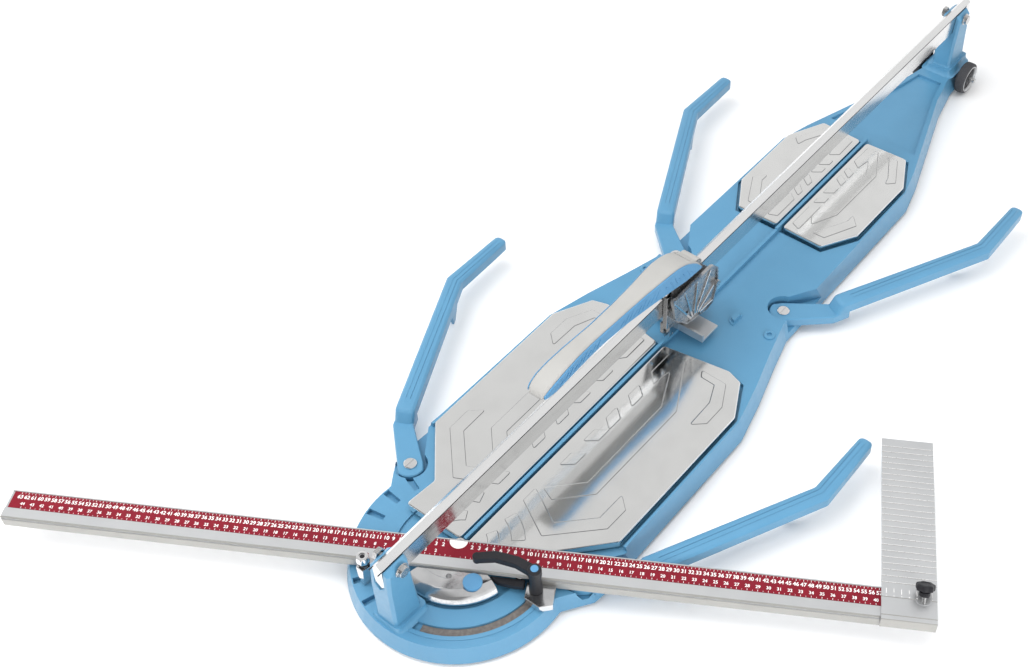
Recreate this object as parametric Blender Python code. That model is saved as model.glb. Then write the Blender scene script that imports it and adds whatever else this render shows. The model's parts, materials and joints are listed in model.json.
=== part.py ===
"""Tile cutter with a swivelling ruler, side arms, sprung tables and a rail carriage.

Frame: origin on the floor under the ruler's pivot, +Y along the cut away from the
operator, +X to the operator's right, +Z up. All sizes below are in millimetres.
"""
import math

import bmesh
import bpy
from mathutils import Matrix

MM = 0.001
GAP = 0.3                       # air left between touching pieces
BORE = 0.45                     # extra radius of a hole round its pin

# Heights above the floor
PAD_TOP = 5.7
BASE_BOTTOM = 6.0
CAVITY_TOP = 24.0
WELL_FLOOR = 31.0
DECK = 34.0
BED_TOP = 42.0
TABLE_TOP = 52.0
RULER_BOTTOM = 38.0
FLANGE_BOTTOM = 54.0
RULER_TOP = 60.0

# Base outline
FRONT_RADIUS = 161.0
BASE_END = 1428.0
BASE_DRAFT = 9.0
BASE_SIDES = [(20, 160), (60, 188), (100, 193), (157, 190), (415, 190), (490, 172),
              (565, 150), (625, 134), (730, 134), (1010, 133), (1070, 118),
              (1150, 92), (1275, 52), (1350, 36), (1428, 31)]   # (y, half width)

# Arc slot, detents and sector
SLOT_RADIUS = 129.0
SLOT_HALF = 6.5
SLOT_FLOOR = 29.0
DETENT_STEP = 15
SECTOR_RADIUS = 92.0

# Ruler
SWIVEL = 30.0                   # degrees it stands at, right end away from the operator
RULER_HALF = 645.0
RULER_DEPTH = 47.0
SCALE_DEPTH = 30.0
BRIDGE_HALF = 118.0             # the box section is cut away this far each side of zero
STUD_AT = (116.0, -57.3)
PLUNGER_AT = (-118.0, -60.0)
BUTTON_AT = (32.0, -66.0)
STOP_FROM, STOP_TO = 572.0, 645.0
STOP_REACH = 250.0
STOP_STEP = -17.0               # the stop is lower in front of this
KNOB_AT = (627.0, -20.5, 64.0)  # where its shank enters the stop
KNOB_LEAN = 38.0

# Arms: pivots on the base, and the centreline from the pivot outwards
FRONT_ARM = (158.4, 66.3)
REAR_ARM = (106.0, 655.0)
ARM_PATH = [(0, 0), (60, 48), (191, 310), (193, 432)]
ARM_ROOT_BOTTOM, ARM_ROOT_TOP = 18.0, 34.0
ARM_BOTTOM = 32.0
ARM_FOLD_FRONT, ARM_FOLD_REAR, ARM_OUT_REAR = 15.0, 20.0, 45.0

# Rail and posts
RAIL_FROM, RAIL_TO = -144.0, 1425.0
RAIL_HALF = 8.0
RAIL_RIDGE, RAIL_SHOULDER, RAIL_SILL, RAIL_KEEL = 170.0, 161.0, 125.0, 116.0
FRONT_BOLT = (-120.0, 148.0)    # (y, z)
REAR_BOLT = (1388.0, 148.0)
POST_HALF = 18.0
POST_CREST = 11.5               # half width at the very top, above the bevel

# Carriage
PIN = (515.0, 179.0)            # handle hinge (y, z)
ROLLER_STEP = 18.0
ROLLER_RADIUS, ROLLER_NECK = 12.0, 4.5
PLATE_IN, PLATE_OUT = 10.6, 14.6
FORK_IN, FORK_OUT = 15.2, 18.5
ROOF_IN, ROOF_OUT = 32.0, 35.0
ROOF_OPEN = 42.0                # the cover stops this high up its arc, to lift over the rail
FLANK = 27.0
FOOT_PIN = (530.0, 78.0)
SCORER = (484.0, 66.0)
SCORER_RADIUS = 10.0

# Transport wheels
WHEEL_AT = (1383.0, 31.0)
WHEEL_RADIUS = 29.5
WHEEL_IN, WHEEL_OUT = 37.5, 63.0

TABLE_PLATE = 4.0
TABLE_SKIRT_BOTTOM = 38.0


def clear_scene():
    for obj in list(bpy.data.objects):
        bpy.data.objects.remove(obj)


def material(name, colour, roughness, metallic=0.0):
    mat = bpy.data.materials.new(name)
    mat.use_nodes = True
    shader = mat.node_tree.nodes["Principled BSDF"]
    shader.inputs["Base Color"].default_value = (*colour, 1.0)
    shader.inputs["Roughness"].default_value = roughness
    shader.inputs["Metallic"].default_value = metallic
    return mat


# ---------------------------------------------------------------- solids

def circle(axis, centre, radius, count=24, start=0.0):
    """Points around an axis ("X", "Y" or "Z") through the centre."""
    points = []
    for i in range(count):
        angle = math.radians(start) + 2 * math.pi * i / count
        a, b = radius * math.cos(angle), radius * math.sin(angle)
        x, y, z = centre
        offset = {"X": (x, y + a, z + b), "Y": (x + b, y, z + a), "Z": (x + a, y + b, z)}
        points.append(offset[axis])
    return points


def loft(rings, capped=True):
    """A closed solid through rings of equal length, or a closed loop of them."""
    bm = bmesh.new()
    layers = [[bm.verts.new(p) for p in ring] for ring in rings]
    pairs = list(zip(layers, layers[1:]))
    if not capped:
        pairs.append((layers[-1], layers[0]))
    for low, high in pairs:
        for i, vert in enumerate(low):
            j = (i + 1) % len(low)
            bm.faces.new((vert, low[j], high[j], high[i]))
    if capped:
        bm.faces.new(list(reversed(layers[0])))
        bm.faces.new(layers[-1])
    bmesh.ops.recalc_face_normals(bm, faces=bm.faces)
    return bm


def prism(outline, low, high, axis="Z"):
    """Extrude an outline along Z (x, y), X (y, z) or Y (x, z)."""
    place = {"Z": lambda p, h: (p[0], p[1], h), "X": lambda p, h: (h, p[0], p[1]),
             "Y": lambda p, h: (p[0], h, p[1])}[axis]
    return loft([[place(p, h) for p in outline] for h in (low, high)])


def box(x0, x1, y0, y1, z0, z1):
    return prism([(x0, y0), (x1, y0), (x1, y1), (x0, y1)], z0, z1)


def turned(axis, centre, profile, count=24, capped=True):
    """Solid of revolution; the profile is (radius, distance along the axis)."""
    step = {"X": (1, 0, 0), "Y": (0, 1, 0), "Z": (0, 0, 1)}[axis]
    rings = []
    for radius, along in profile:
        middle = [c + s * along for c, s in zip(centre, step)]
        rings.append(circle(axis, middle, radius, count))
    return loft(rings, capped)


def rod(axis, centre, radius, low, high, count=24):
    return turned(axis, centre, [(radius, low), (radius, high)], count)


def mirrored(points):
    return points + [(-x, y) for x, y in reversed(points) if abs(x) > 1e-6]


def flip(points, side):
    return [(side * x, y) for x, y in points]


def arc(radius, start, stop, count, centre=(0.0, 0.0)):
    angles = [math.radians(start + (stop - start) * i / (count - 1)) for i in range(count)]
    return [(centre[0] + radius * math.cos(a), centre[1] + radius * math.sin(a)) for a in angles]


def ring_sector(inner, outer, start, stop, count):
    return arc(outer, start, stop, count) + arc(inner, stop, start, count)


def thick_path(points, halves):
    """Outline of a mitred band along a centreline, with a half width at each point."""
    left, right = [], []
    for i, (x, y) in enumerate(points):
        before = points[max(i - 1, 0)]
        after = points[min(i + 1, len(points) - 1)]
        directions = []
        for (ax, ay), (bx, by) in ((before, (x, y)), ((x, y), after)):
            length = math.hypot(bx - ax, by - ay)
            if length > 0:
                directions.append(((bx - ax) / length, (by - ay) / length))
        dx = sum(d[0] for d in directions) / len(directions)
        dy = sum(d[1] for d in directions) / len(directions)
        square = dx * dx + dy * dy
        left.append((x - dy * halves[i] / square, y + dx * halves[i] / square))
        right.append((x + dy * halves[i] / square, y - dx * halves[i] / square))
    return right + left[::-1]


# ---------------------------------------------------------------- objects

def add(name, bm, mat, origin=(0, 0, 0), parent=None):
    """Make a named object whose own origin is a point of the shared frame."""
    bmesh.ops.translate(bm, verts=bm.verts, vec=[-c for c in origin])
    bmesh.ops.scale(bm, verts=bm.verts, vec=(MM, MM, MM))
    mesh = bpy.data.meshes.new(name)
    bm.to_mesh(mesh)
    bm.free()
    mesh.materials.append(mat)
    mesh.shade_smooth()
    mesh.set_sharp_from_angle(angle=math.radians(35))
    obj = bpy.data.objects.new(name, mesh)
    obj.location = [c * MM for c in origin]
    obj.parent = parent
    bpy.context.scene.collection.objects.link(obj)
    return obj


def combine(target, bm, operation):
    """Cut a tool from an object, or fuse it on; the tool is in the shared frame."""
    count = len(target.modifiers)
    tool = add(f"{target.name}_tool_{count:02d}", bm, target.data.materials[0],
               parent=target.parent)
    tool.hide_render = True
    tool.display_type = "WIRE"
    modifier = target.modifiers.new(f"shape_{count:02d}", "BOOLEAN")
    modifier.operation = operation
    modifier.solver = "EXACT"
    modifier.object = tool


def cut(target, bm):
    combine(target, bm, "DIFFERENCE")


def fuse(target, bm):
    combine(target, bm, "UNION")


def half_width(y):
    """Half width of the base's foot at a distance y along the cut."""
    if y <= BASE_SIDES[0][0]:
        return math.sqrt(max(FRONT_RADIUS ** 2 - y * y, 0.0))
    for (ya, wa), (yb, wb) in zip(BASE_SIDES, BASE_SIDES[1:]):
        if ya <= y <= yb:
            return wa + (wb - wa) * (y - ya) / (yb - ya)
    return BASE_SIDES[-1][1]


def base_ring(inset, z):
    right = arc(FRONT_RADIUS - inset, -90, 6, 20)
    right += [(w - inset, min(y, BASE_END - inset)) for y, w in BASE_SIDES]
    return [(x, y, z) for x, y in mirrored(right)]


def band_outline(y_list, inset, limit=1e9):
    """A symmetric outline that keeps an inset from the base's foot."""
    right = [(min(half_width(y) - inset, limit), y) for y in y_list]
    return right + [(-x, y) for x, y in reversed(right)]


# ---------------------------------------------------------------- base

def front_table_outline():
    return [(6, 6), (106, 4), (101, 58), (173, 137), (174.5, 415), (143, 477), (117, 485), (6, 467)]


def rear_table_outline():
    return [(6, 804), (82, 803), (117, 864), (118, 1015), (85, 1083), (6, 1080)]


def arm_recess(pivot, side, inward, outward):
    """Swept outline of an arm's root, from its outward to its inward stop."""
    px, py = pivot
    aim = math.degrees(math.atan2(ARM_PATH[1][1], ARM_PATH[1][0]))
    reach, half = 120.0, 19.0
    points = []
    for angle, sign in ((aim - outward, -1), (aim + inward, 1)):
        c, s = math.cos(math.radians(angle)), math.sin(math.radians(angle))
        near = (px - sign * s * half, py + sign * c * half)
        far = (near[0] + reach * c, near[1] + reach * s)
        points += [near, far] if sign < 0 else [far, near]
    return flip(points, side)


def make_base(paint):
    rings = [base_ring(0, BASE_BOTTOM), base_ring(BASE_DRAFT, BED_TOP)]
    base = add("base_casting", loft(rings), paint)
    cut(base, box(-300, 300, -300, 138, DECK, 80))
    cut(base, prism(mirrored([(0, 470), (118, 489), (146, 481), (177.5, 417), (177.5, 130)]), DECK, 80))
    rear_bed = [(0, 1085), (88, 1088), (121.5, 1017), (121.5, 862), (85, 799), (0, 799)]
    cut(base, prism(mirrored(rear_bed), DECK, 80))
    trough = band_outline((1112, 1150, 1275, 1325), BASE_DRAFT + 9)
    cut(base, prism(trough, 37, 80))
    cut(base, rod("Z", (0, 0, 0), SECTOR_RADIUS + 3, WELL_FLOOR, DECK + 9, 48))
    slot = ring_sector(SLOT_RADIUS - SLOT_HALF, SLOT_RADIUS + SLOT_HALF, -79, 17, 25)
    cut(base, prism(slot, SLOT_FLOOR, DECK + 10))
    for turn in range(-45, 46, DETENT_STEP):
        aim = math.degrees(math.atan2(PLUNGER_AT[1], PLUNGER_AT[0])) + turn
        notch = ring_sector(125, 152, aim - 1.9, aim + 1.9, 3)
        cut(base, prism(notch, 26, DECK + 10))
    for pivot, inward, outward in ((FRONT_ARM, ARM_FOLD_FRONT, 0), (REAR_ARM, ARM_FOLD_REAR, ARM_OUT_REAR)):
        for side in (1, -1):
            centre = (side * pivot[0], pivot[1], 0)
            cut(base, rod("Z", centre, 26, ARM_ROOT_BOTTOM - 0.5, 80))
            cut(base, prism(arm_recess(pivot, side, inward, outward), ARM_ROOT_BOTTOM - 0.5, 80))
            cut(base, rod("Z", centre, 5 + BORE, 10, 30, 16))
    cut(base, rod("Z", (0, 0, 0), 4 + BORE, 20, 40, 16))
    cut(base, rod("X", (0, *WHEEL_AT), 5 + BORE, -60, 60, 16))
    cut(base, prism(arc(FRONT_RADIUS - 21, -162, -18, 15), 0, CAVITY_TOP))
    cavities = [((45, 138), 9, 115, CAVITY_TOP),
                ((155, 415, 490, 590), 10, 1e9, CAVITY_TOP), ((604, 715), 10, 68, 38),
                ((732, 1010, 1060), 10, 1e9, CAVITY_TOP), ((1075, 1140), 12, 1e9, 30),
                ((1205, 1320), 12, 1e9, 30)]
    for y_list, inset, limit, top in cavities:
        cut(base, prism(band_outline(y_list, inset, limit), 0, top))
    fuse(base, box(-2.5, 2.5, 10, 475, DECK - 2, TABLE_TOP - 0.5))
    fuse(base, box(-2.5, 2.5, 795, 1092, DECK - 2, TABLE_TOP - 0.5))
    fuse(base, box(-2.5, 2.5, 474, 796, BED_TOP - 2, TABLE_TOP - 3))
    return base


def make_pads(rubber):
    add("front_foot_pad", box(-105, 105, -30, 30, 0, PAD_TOP), rubber)
    add("rear_foot_pad", box(-55, 55, 1152, 1192, 0, PAD_TOP), rubber)


def make_slot_strip(liner):
    outline = ring_sector(SLOT_RADIUS - 6, SLOT_RADIUS + 6, -76, 14, 21)
    add("slot_liner", prism(outline, SLOT_FLOOR + GAP, SLOT_FLOOR + 1.5), liner)


def make_table(name, outline, steel, side):
    """A pressed pan: a plate with a skirt, open underneath."""
    table = add(name, prism(flip(outline, side), TABLE_SKIRT_BOTTOM, TABLE_TOP), steel)
    cx = sum(x for x, y in outline) / len(outline)
    cy = sum(y for x, y in outline) / len(outline)
    wx = max(x for x, y in outline) - min(x for x, y in outline)
    wy = max(y for x, y in outline) - min(y for x, y in outline)
    inner = [(cx + (x - cx) * (1 - 8 / wx), cy + (y - cy) * (1 - 8 / wy)) for x, y in outline]
    cut(table, prism(flip(inner, side), 0, TABLE_TOP - TABLE_PLATE))


def make_spring(name, centre, steel):
    """A short compression spring with its ends cut flat by two seats."""
    x, y = centre
    coil, wire, turns, steps, sides = 9.0, 1.1, 3.0, 12, 6
    low, high = DECK + GAP + wire, TABLE_TOP - TABLE_PLATE - GAP - wire
    rings = []
    count = int(turns * steps)
    for i in range(count + 1):
        angle = 2 * math.pi * turns * i / count
        z = low + (high - low) * i / count
        ring = []
        for k in range(sides):
            around = 2 * math.pi * k / sides
            r = coil + wire * math.cos(around)
            ring.append((x + r * math.cos(angle), y + r * math.sin(angle), z + wire * math.sin(around)))
        rings.append(ring)
    add(name, loft(rings), steel)


def make_tables(polished, steel):
    for place, outline, seat in (("front", front_table_outline(), (92, 260)),
                                 ("rear", rear_table_outline(), (62, 945))):
        for word, side in (("left", -1), ("right", 1)):
            make_table(f"table_{place}_{word}", outline, polished, side)
            make_spring(f"table_spring_{place}_{word}", (side * seat[0], seat[1]), steel)


def make_arm(name, pivot, side, paint):
    """A flat arm: low root on its boss, a step, a long straight run and a bent tip."""
    start, step, elbow, tip = ARM_PATH
    run = math.hypot(elbow[0] - step[0], elbow[1] - step[1])
    along = [(elbow[0] - step[0]) / run, (elbow[1] - step[1]) / run]
    under = (step[0] + 22 * along[0], step[1] + 22 * along[1])
    origin = (side * pivot[0], pivot[1], 0)

    def placed(points):
        return [(side * (pivot[0] + x), pivot[1] + y) for x, y in points]

    upper = thick_path([step, elbow, tip], [15, 13.5, 11])
    arm = add(name, prism(placed(upper), ARM_BOTTOM, TABLE_TOP), paint, origin)
    root = thick_path([start, step, under], [19, 15, 13])
    fuse(arm, prism(placed(root), ARM_ROOT_BOTTOM, ARM_ROOT_TOP))
    fuse(arm, rod("Z", origin, 22.5, ARM_ROOT_BOTTOM, ARM_ROOT_TOP))
    first = (step[0] + 12 * along[0], step[1] + 12 * along[1])
    channel = thick_path([first, elbow, (tip[0], tip[1] - 14)], [4, 4, 3])
    cut(arm, prism(placed(channel), TABLE_TOP - 1, TABLE_TOP + 9))
    fin_top = thick_path([(154, 258), (170, 290)], [2.5, 2.5])
    fin_low = thick_path([(156, 262), (160, 270)], [2.0, 2.0])
    ends = [[(x, y, z) for x, y in placed(points)] for points, z in ((fin_low, 8), (fin_top, ARM_BOTTOM + 2))]
    fuse(arm, loft(ends))
    cut(arm, rod("Z", origin, 5 + BORE, 0, 60, 16))


def make_arms(paint, chrome):
    for place, pivot in (("front", FRONT_ARM), ("rear", REAR_ARM)):
        for word, side in (("left", -1), ("right", 1)):
            make_arm(f"arm_{place}_{word}", pivot, side, paint)
            centre = (side * pivot[0], pivot[1], 0)
            profile = [(5, 10.5), (5, 34.3), (10, 34.3), (10, 36), (8.5, 37)]
            screw = add(f"arm_screw_{place}_{word}", turned("Z", centre, profile), chrome, centre)
            cut(screw, box(centre[0] - 1, centre[0] + 1, centre[1] - 12, centre[1] + 12, 35.6, 40))


# ---------------------------------------------------------------- ruler

def make_ruler(pivot, aluminium, red):
    """A flat top with a scale channel, stiffened by a bar under each half's front."""
    depth, scale = RULER_DEPTH, SCALE_DEPTH
    section = [(0, FLANGE_BOTTOM), (0, RULER_TOP), (-2, RULER_TOP), (-2, 58.6), (-scale, 58.6),
               (-scale, RULER_TOP), (-depth + 2, RULER_TOP), (-depth, 58.5), (-depth, 57.3),
               (-depth + 1.5, 57), (-depth + 1.5, 55.3), (-depth, 55), (-depth, FLANGE_BOTTOM)]
    add("ruler_extrusion", prism(section, -RULER_HALF, RULER_HALF, "X"), aluminium, parent=pivot)
    top = FLANGE_BOTTOM - GAP
    bar = [(-depth, top), (-depth, RULER_BOTTOM + 1.5), (-depth + 1.5, RULER_BOTTOM), (-scale, RULER_BOTTOM), (-scale, top)]
    add("ruler_bar_left", prism(bar, -RULER_HALF, -BRIDGE_HALF, "X"), aluminium, parent=pivot)
    add("ruler_bar_right", prism(bar, BRIDGE_HALF, RULER_HALF, "X"), aluminium, parent=pivot)
    add("scale_strip", box(-641, 641, -scale + GAP, -2 - GAP, 58.9, 59.7), red, parent=pivot)


def make_sector(pivot, chrome, steel, blue):
    """The quarter-disc casting under the ruler, which turns on the pivot pin."""
    radius = SECTOR_RADIUS
    under = [(0, 0)] + arc(60, -134, -46, 9)
    sector = add("sector_plate", prism(under, WELL_FLOOR + 0.6, 53.6), chrome, parent=pivot)
    fuse(sector, rod("Z", (0, 0, 0), 7, WELL_FLOOR + 0.6, 53.6))
    front_y = -RULER_DEPTH - 0.4
    rings = []
    for r, z in ((radius, WELL_FLOOR + 0.6), (radius, 42), (radius - 4, 50), (radius - 14, 55.5)):
        edge = math.degrees(math.asin(-front_y / r))
        rim = arc(r, -180 + max(edge, 45), -max(edge, 45), 17)
        corner = min(-front_y, r * math.cos(math.radians(max(edge, 45))))
        rings.append([(x, y, z) for x, y in [(-corner, front_y)] + rim + [(corner, front_y)]])
    fuse(sector, loft(rings))
    cut(sector, rod("Z", (0, 0, 0), 4 + BORE, 0, 60, 16))
    cut(sector, rod("Z", (-3, -57, 0), 4, 44, 60, 16))
    cut(sector, rod("Z", (*BUTTON_AT, 0), 9 + BORE, 35, 60))
    add("pivot_pin", turned("Z", (0, 0, 0), [(4, 20.4), (4, 52.5), (3, 53.4)], 20), steel)
    profile = [(9, 39), (9, 58.5), (15, 59), (15.5, 62), (14.5, 63.5), (5, 64)]
    button_at = (*BUTTON_AT, 0)
    add("release_button", turned("Z", button_at, profile), blue, button_at, pivot)


def make_index(pivot, chrome):
    x, y = PLUNGER_AT
    bracket = add("index_bracket", box(x - 11, x + 11, y - 15, -RULER_DEPTH - GAP, 34.6, 64), chrome, parent=pivot)
    cut(bracket, rod("Z", (x, y, 0), 4 + BORE, 0, 80, 16))
    cut(bracket, box(x - 20, x + 20, y - 20, y - 8, 47, 80))
    profile = [(3, 34.6), (4, 36.6), (4, 71), (7, 71), (7, 74), (9.5, 75), (9.5, 85), (8, 87), (3, 87.6)]
    add("index_plunger", turned("Z", (x, y, 0), profile), chrome, (x, y, 0), pivot)


def make_clamp(pivot, chrome, black, steel):
    x, y = STUD_AT
    outline = [(102, -RULER_DEPTH - GAP), (102, -72), (124, -84), (142, -78), (142, -RULER_DEPTH - GAP)]
    block = add("clamp_block", prism(outline, 34.6, 47), chrome, parent=pivot)
    cut(block, rod("Z", (x, y, 0), 4 + BORE, 0, 80, 16))
    stud = [(5.6, SLOT_FLOOR + 2), (5.6, 33), (4, 33.4), (4, 80)]
    add("clamp_stud", turned("Z", (x, y, 0), stud, 20), steel, (x, y, 0), pivot)
    hub = [(9.5, 47.4), (9, 60), (8, 74), (9.6, 84), (9.6, 96), (7, 97.5), (5, 98)]
    lever = add("clamp_lever", turned("Z", (x, y, 0), hub), black, (x, y, 0), pivot)
    bow = [(0, 0), (-26, 12), (-56, 17), (-80, 12)]
    path = [(x + u, y + v) for u, v in bow]
    fuse(lever, prism(thick_path(path, [7, 6.5, 6, 5.5]), 84, 95))
    fuse(lever, rod("Z", (*path[-1], 0), 6, 84, 95, 20))
    cut(lever, rod("Z", (x, y, 0), 4 + BORE, 40, 80.4, 16))
    guard = [(51, -RULER_DEPTH - GAP), (88, -RULER_DEPTH - GAP), (88, -60), (65, -60)]
    add("lever_guard", prism(guard, 36, 52), black, parent=pivot)


def leaning(bm, centre, degrees):
    """Tip a shape back round a centre, so that its Z axis leans towards +Y."""
    turn = Matrix.Rotation(math.radians(-degrees), 3, "X")
    bmesh.ops.rotate(bm, verts=bm.verts, cent=centre, matrix=turn)
    return bm


def make_stop(pivot, aluminium, black):
    """A plate square to the ruler, clamped by a leaning knob: it lies over the ruler and hooks round its front."""
    low, high = RULER_TOP + 0.8, RULER_TOP + 5.5
    front = -RULER_DEPTH - 4
    section = [(STOP_REACH, low), (STOP_REACH, high), (STOP_STEP, high), (STOP_STEP, high - 1.5),
               (front + 2, high - 1.5), (front, high - 3.5), (front, 44),
               (-RULER_DEPTH - GAP - 0.3, 44), (-RULER_DEPTH - GAP - 0.3, low)]
    stop = add("square_stop", prism(section, STOP_FROM, STOP_TO, "X"), aluminium, parent=pivot)
    cut(stop, leaning(turned("Z", KNOB_AT, [(3 + BORE, -9), (3 + BORE, 9)], 16), KNOB_AT, KNOB_LEAN))
    profile = [(3, -1.5), (3, 8.5), (6.6, 9), (7.6, 12), (7.6, 15), (5.5, 16.2), (12, 17.5), (13.2, 18.5),
               (13.2, 25), (12, 26.5)]
    add("square_knob", leaning(turned("Z", KNOB_AT, profile, 20), KNOB_AT, KNOB_LEAN), black, KNOB_AT, pivot)


# ---------------------------------------------------------------- rail and posts

def rail_section(extra=0.0):
    half = RAIL_HALF + extra
    return [(0, RAIL_RIDGE + extra), (half, RAIL_SHOULDER + extra / 2), (half, RAIL_SILL - extra / 2),
            (0, RAIL_KEEL - extra), (-half, RAIL_SILL - extra / 2), (-half, RAIL_SHOULDER + extra / 2)]


def make_rail(chrome):
    rail = add("rail", prism(rail_section(), RAIL_FROM, RAIL_TO, "Y"), chrome)
    for y, z in (FRONT_BOLT, REAR_BOLT):
        cut(rail, rod("X", (0, y, z), 5 + BORE, -20, 20, 16))


def make_post(name, sections, bolt, paint):
    """A clevis standing on the base: the rail lies between its two cheeks."""
    rings = []
    for z, half, y0, y1 in sections:
        c = 4.0
        ring = [(half - c, y0), (half, y0 + c), (half, y1 - c), (half - c, y1)]
        rings.append([(x, y, z) for x, y in ring + [(-x, y) for x, y in reversed(ring)]])
    post = add(name, loft(rings), paint)
    slot = RAIL_HALF + GAP
    sill, keel = RAIL_SILL - 2 * GAP, RAIL_KEEL - 2 * GAP
    seat = [(0, keel), (slot, sill), (slot, 200), (-slot, 200), (-slot, sill)]
    y_mid = bolt[0]
    cut(post, prism(seat, y_mid - 80, y_mid + 80, "Y"))
    cut(post, rod("X", (0, *bolt), 5 + BORE, -40, 40, 16))


def make_post_bolt(place, bolt, steel):
    centre = (0, *bolt)
    face = POST_HALF + GAP
    profile = [(5, -face - 8), (5, face), (11, face), (11, face + 1.5), (8.5, face + 1.6), (8.5, face + 7)]
    add(f"{place}_post_bolt", turned("X", centre, profile, 12), steel, centre)
    nut = add(f"{place}_post_nut", rod("X", centre, 9.5, -face - 7, -face, 6), steel, centre)
    cut(nut, rod("X", centre, 5 + BORE, -40, 0, 16))


def make_posts(paint, steel):
    front = [(34.3, 23, -149, -93), (44, POST_HALF, -147, -98), (120, POST_HALF, -146, -103),
             (151, POST_HALF, -143, -104), (158, POST_CREST, -142, -104)]
    rear = [(42.3, 23, 1352, 1424), (56, POST_HALF, 1360, 1416), (110, POST_HALF, 1364, 1412),
            (151, POST_HALF, 1371, 1410), (158, POST_CREST, 1372, 1410)]
    make_post("front_rail_post", front, FRONT_BOLT, paint)
    make_post("rear_rail_post", rear, REAR_BOLT, paint)
    make_post_bolt("front", FRONT_BOLT, steel)
    make_post_bolt("rear", REAR_BOLT, steel)


# ---------------------------------------------------------------- carriage

def carriage_outline():
    y, z = PIN
    crown = arc(ROOF_IN - 1.5, -60, 150, 15, (y, z))
    foot = [(466, 94), (488, 88), (512, 71), (548, 71), (572, 80), (581, 104), (576, 130), (540, 146)]
    return foot + crown + [(486, 168), (472, 150), (463, 120)]


def make_carriage(cast, steel):
    """Two cheeks astride the rail, joined by a bridge below it, with thick flanks under the fork."""
    carriage = add("carriage_body", prism(carriage_outline(), PLATE_IN, PLATE_OUT, "X"), cast)
    fuse(carriage, prism([(500, 86.5), (574, 86.5), (574, 94), (500, 94)], 2 - PLATE_OUT, PLATE_OUT - 2, "X"))
    fuse(carriage, prism(carriage_outline(), -PLATE_OUT, -PLATE_IN, "X"))
    block = [(470, 116), (496, 88), (512, 84), (552, 74), (566, 78), (578, 112), (577, 137), (464, 137)]
    wing = [(466, 130), (578, 130), (574, 150), (560, 163), (470, 163), (457, 168)]
    for side in (-1, 1):
        for outline, inner in ((block, PLATE_OUT - 1), (wing, FORK_OUT + 2.9)):
            low, high = sorted((side * inner, side * FLANK))
            fuse(carriage, prism(outline, low, high, "X"))
    for y, z in roller_centres().values():
        cut(carriage, rod("X", (0, y, z), 4 + BORE, -40, 40, 16))
    cut(carriage, rod("X", (0, *PIN), 4 + BORE, -40, 40, 16))
    cut(carriage, rod("X", (0, *FOOT_PIN), 3 + BORE, -40, 40, 16))
    add("handle_pin", rod("X", (0, *PIN), 4, -18, 18, 16), steel, (0, *PIN))
    add("foot_pin", rod("X", (0, *FOOT_PIN), 3, -16, 16, 16), steel, (0, *FOOT_PIN))
    screw = [(3, -4), (3, GAP), (6, GAP), (6, 5)]
    centre = (FLANK, 572, 118)
    cut(carriage, rod("X", centre, 3 + BORE, -4.5, 9, 12))
    add("adjusting_screw", turned("X", centre, screw, 12), steel, centre)


def roller_centres():
    top = RAIL_RIDGE + ROLLER_NECK + 0.6
    low = RAIL_KEEL - ROLLER_NECK - 0.6
    front, rear = PIN[0] - ROLLER_STEP, PIN[0] + ROLLER_STEP
    return {"top_front": (front, top), "top_rear": (rear, top),
            "bottom_front": (front, low), "bottom_rear": (rear, low)}


def make_rollers(steel):
    """Grooved rollers that run on the rail's ridge and keel, with their own stub axles."""
    half = RAIL_HALF + 1.6
    slope = (RAIL_RIDGE - RAIL_SHOULDER) / RAIL_HALF
    shoulder = (ROLLER_RADIUS - ROLLER_NECK) / slope
    for name, (y, z) in roller_centres().items():
        profile = [(4, -PLATE_OUT), (4, -half), (ROLLER_RADIUS, -half), (ROLLER_RADIUS, -shoulder),
                   (ROLLER_NECK, 0), (ROLLER_RADIUS, shoulder), (ROLLER_RADIUS, half), (4, half), (4, PLATE_OUT)]
        add(f"roller_{name}", turned("X", (0, y, z), profile, 20), steel, (0, y, z))


# Handle sections: (y, half width, underside, top)
HANDLE = [(172, 12, 200, 206), (178, 14.5, 199, 213), (195, 15.5, 198, 220), (250, 13.5, 198, 225),
          (310, 12, 197, 222), (360, 13, 193, 221), (410, 15, 186, 221), (450, 18.4, 183, 221),
          (486, 18.5, 183, 213)]
PANEL_TAIL = [(486, 18.5, 166, 213), (504, 18.5, 155, 217), (524, 18.5, 155, 217), (541, 18.5, 161, 206)]


def handle_ring(y, half, low, high):
    c = min(4.0, (high - low) / 3)
    ring = [(half - c, low), (half, low + c), (half, high - c), (half - c, high)]
    return [(x, y, z) for x, z in ring + [(-x, z) for x, z in reversed(ring)]]


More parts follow.
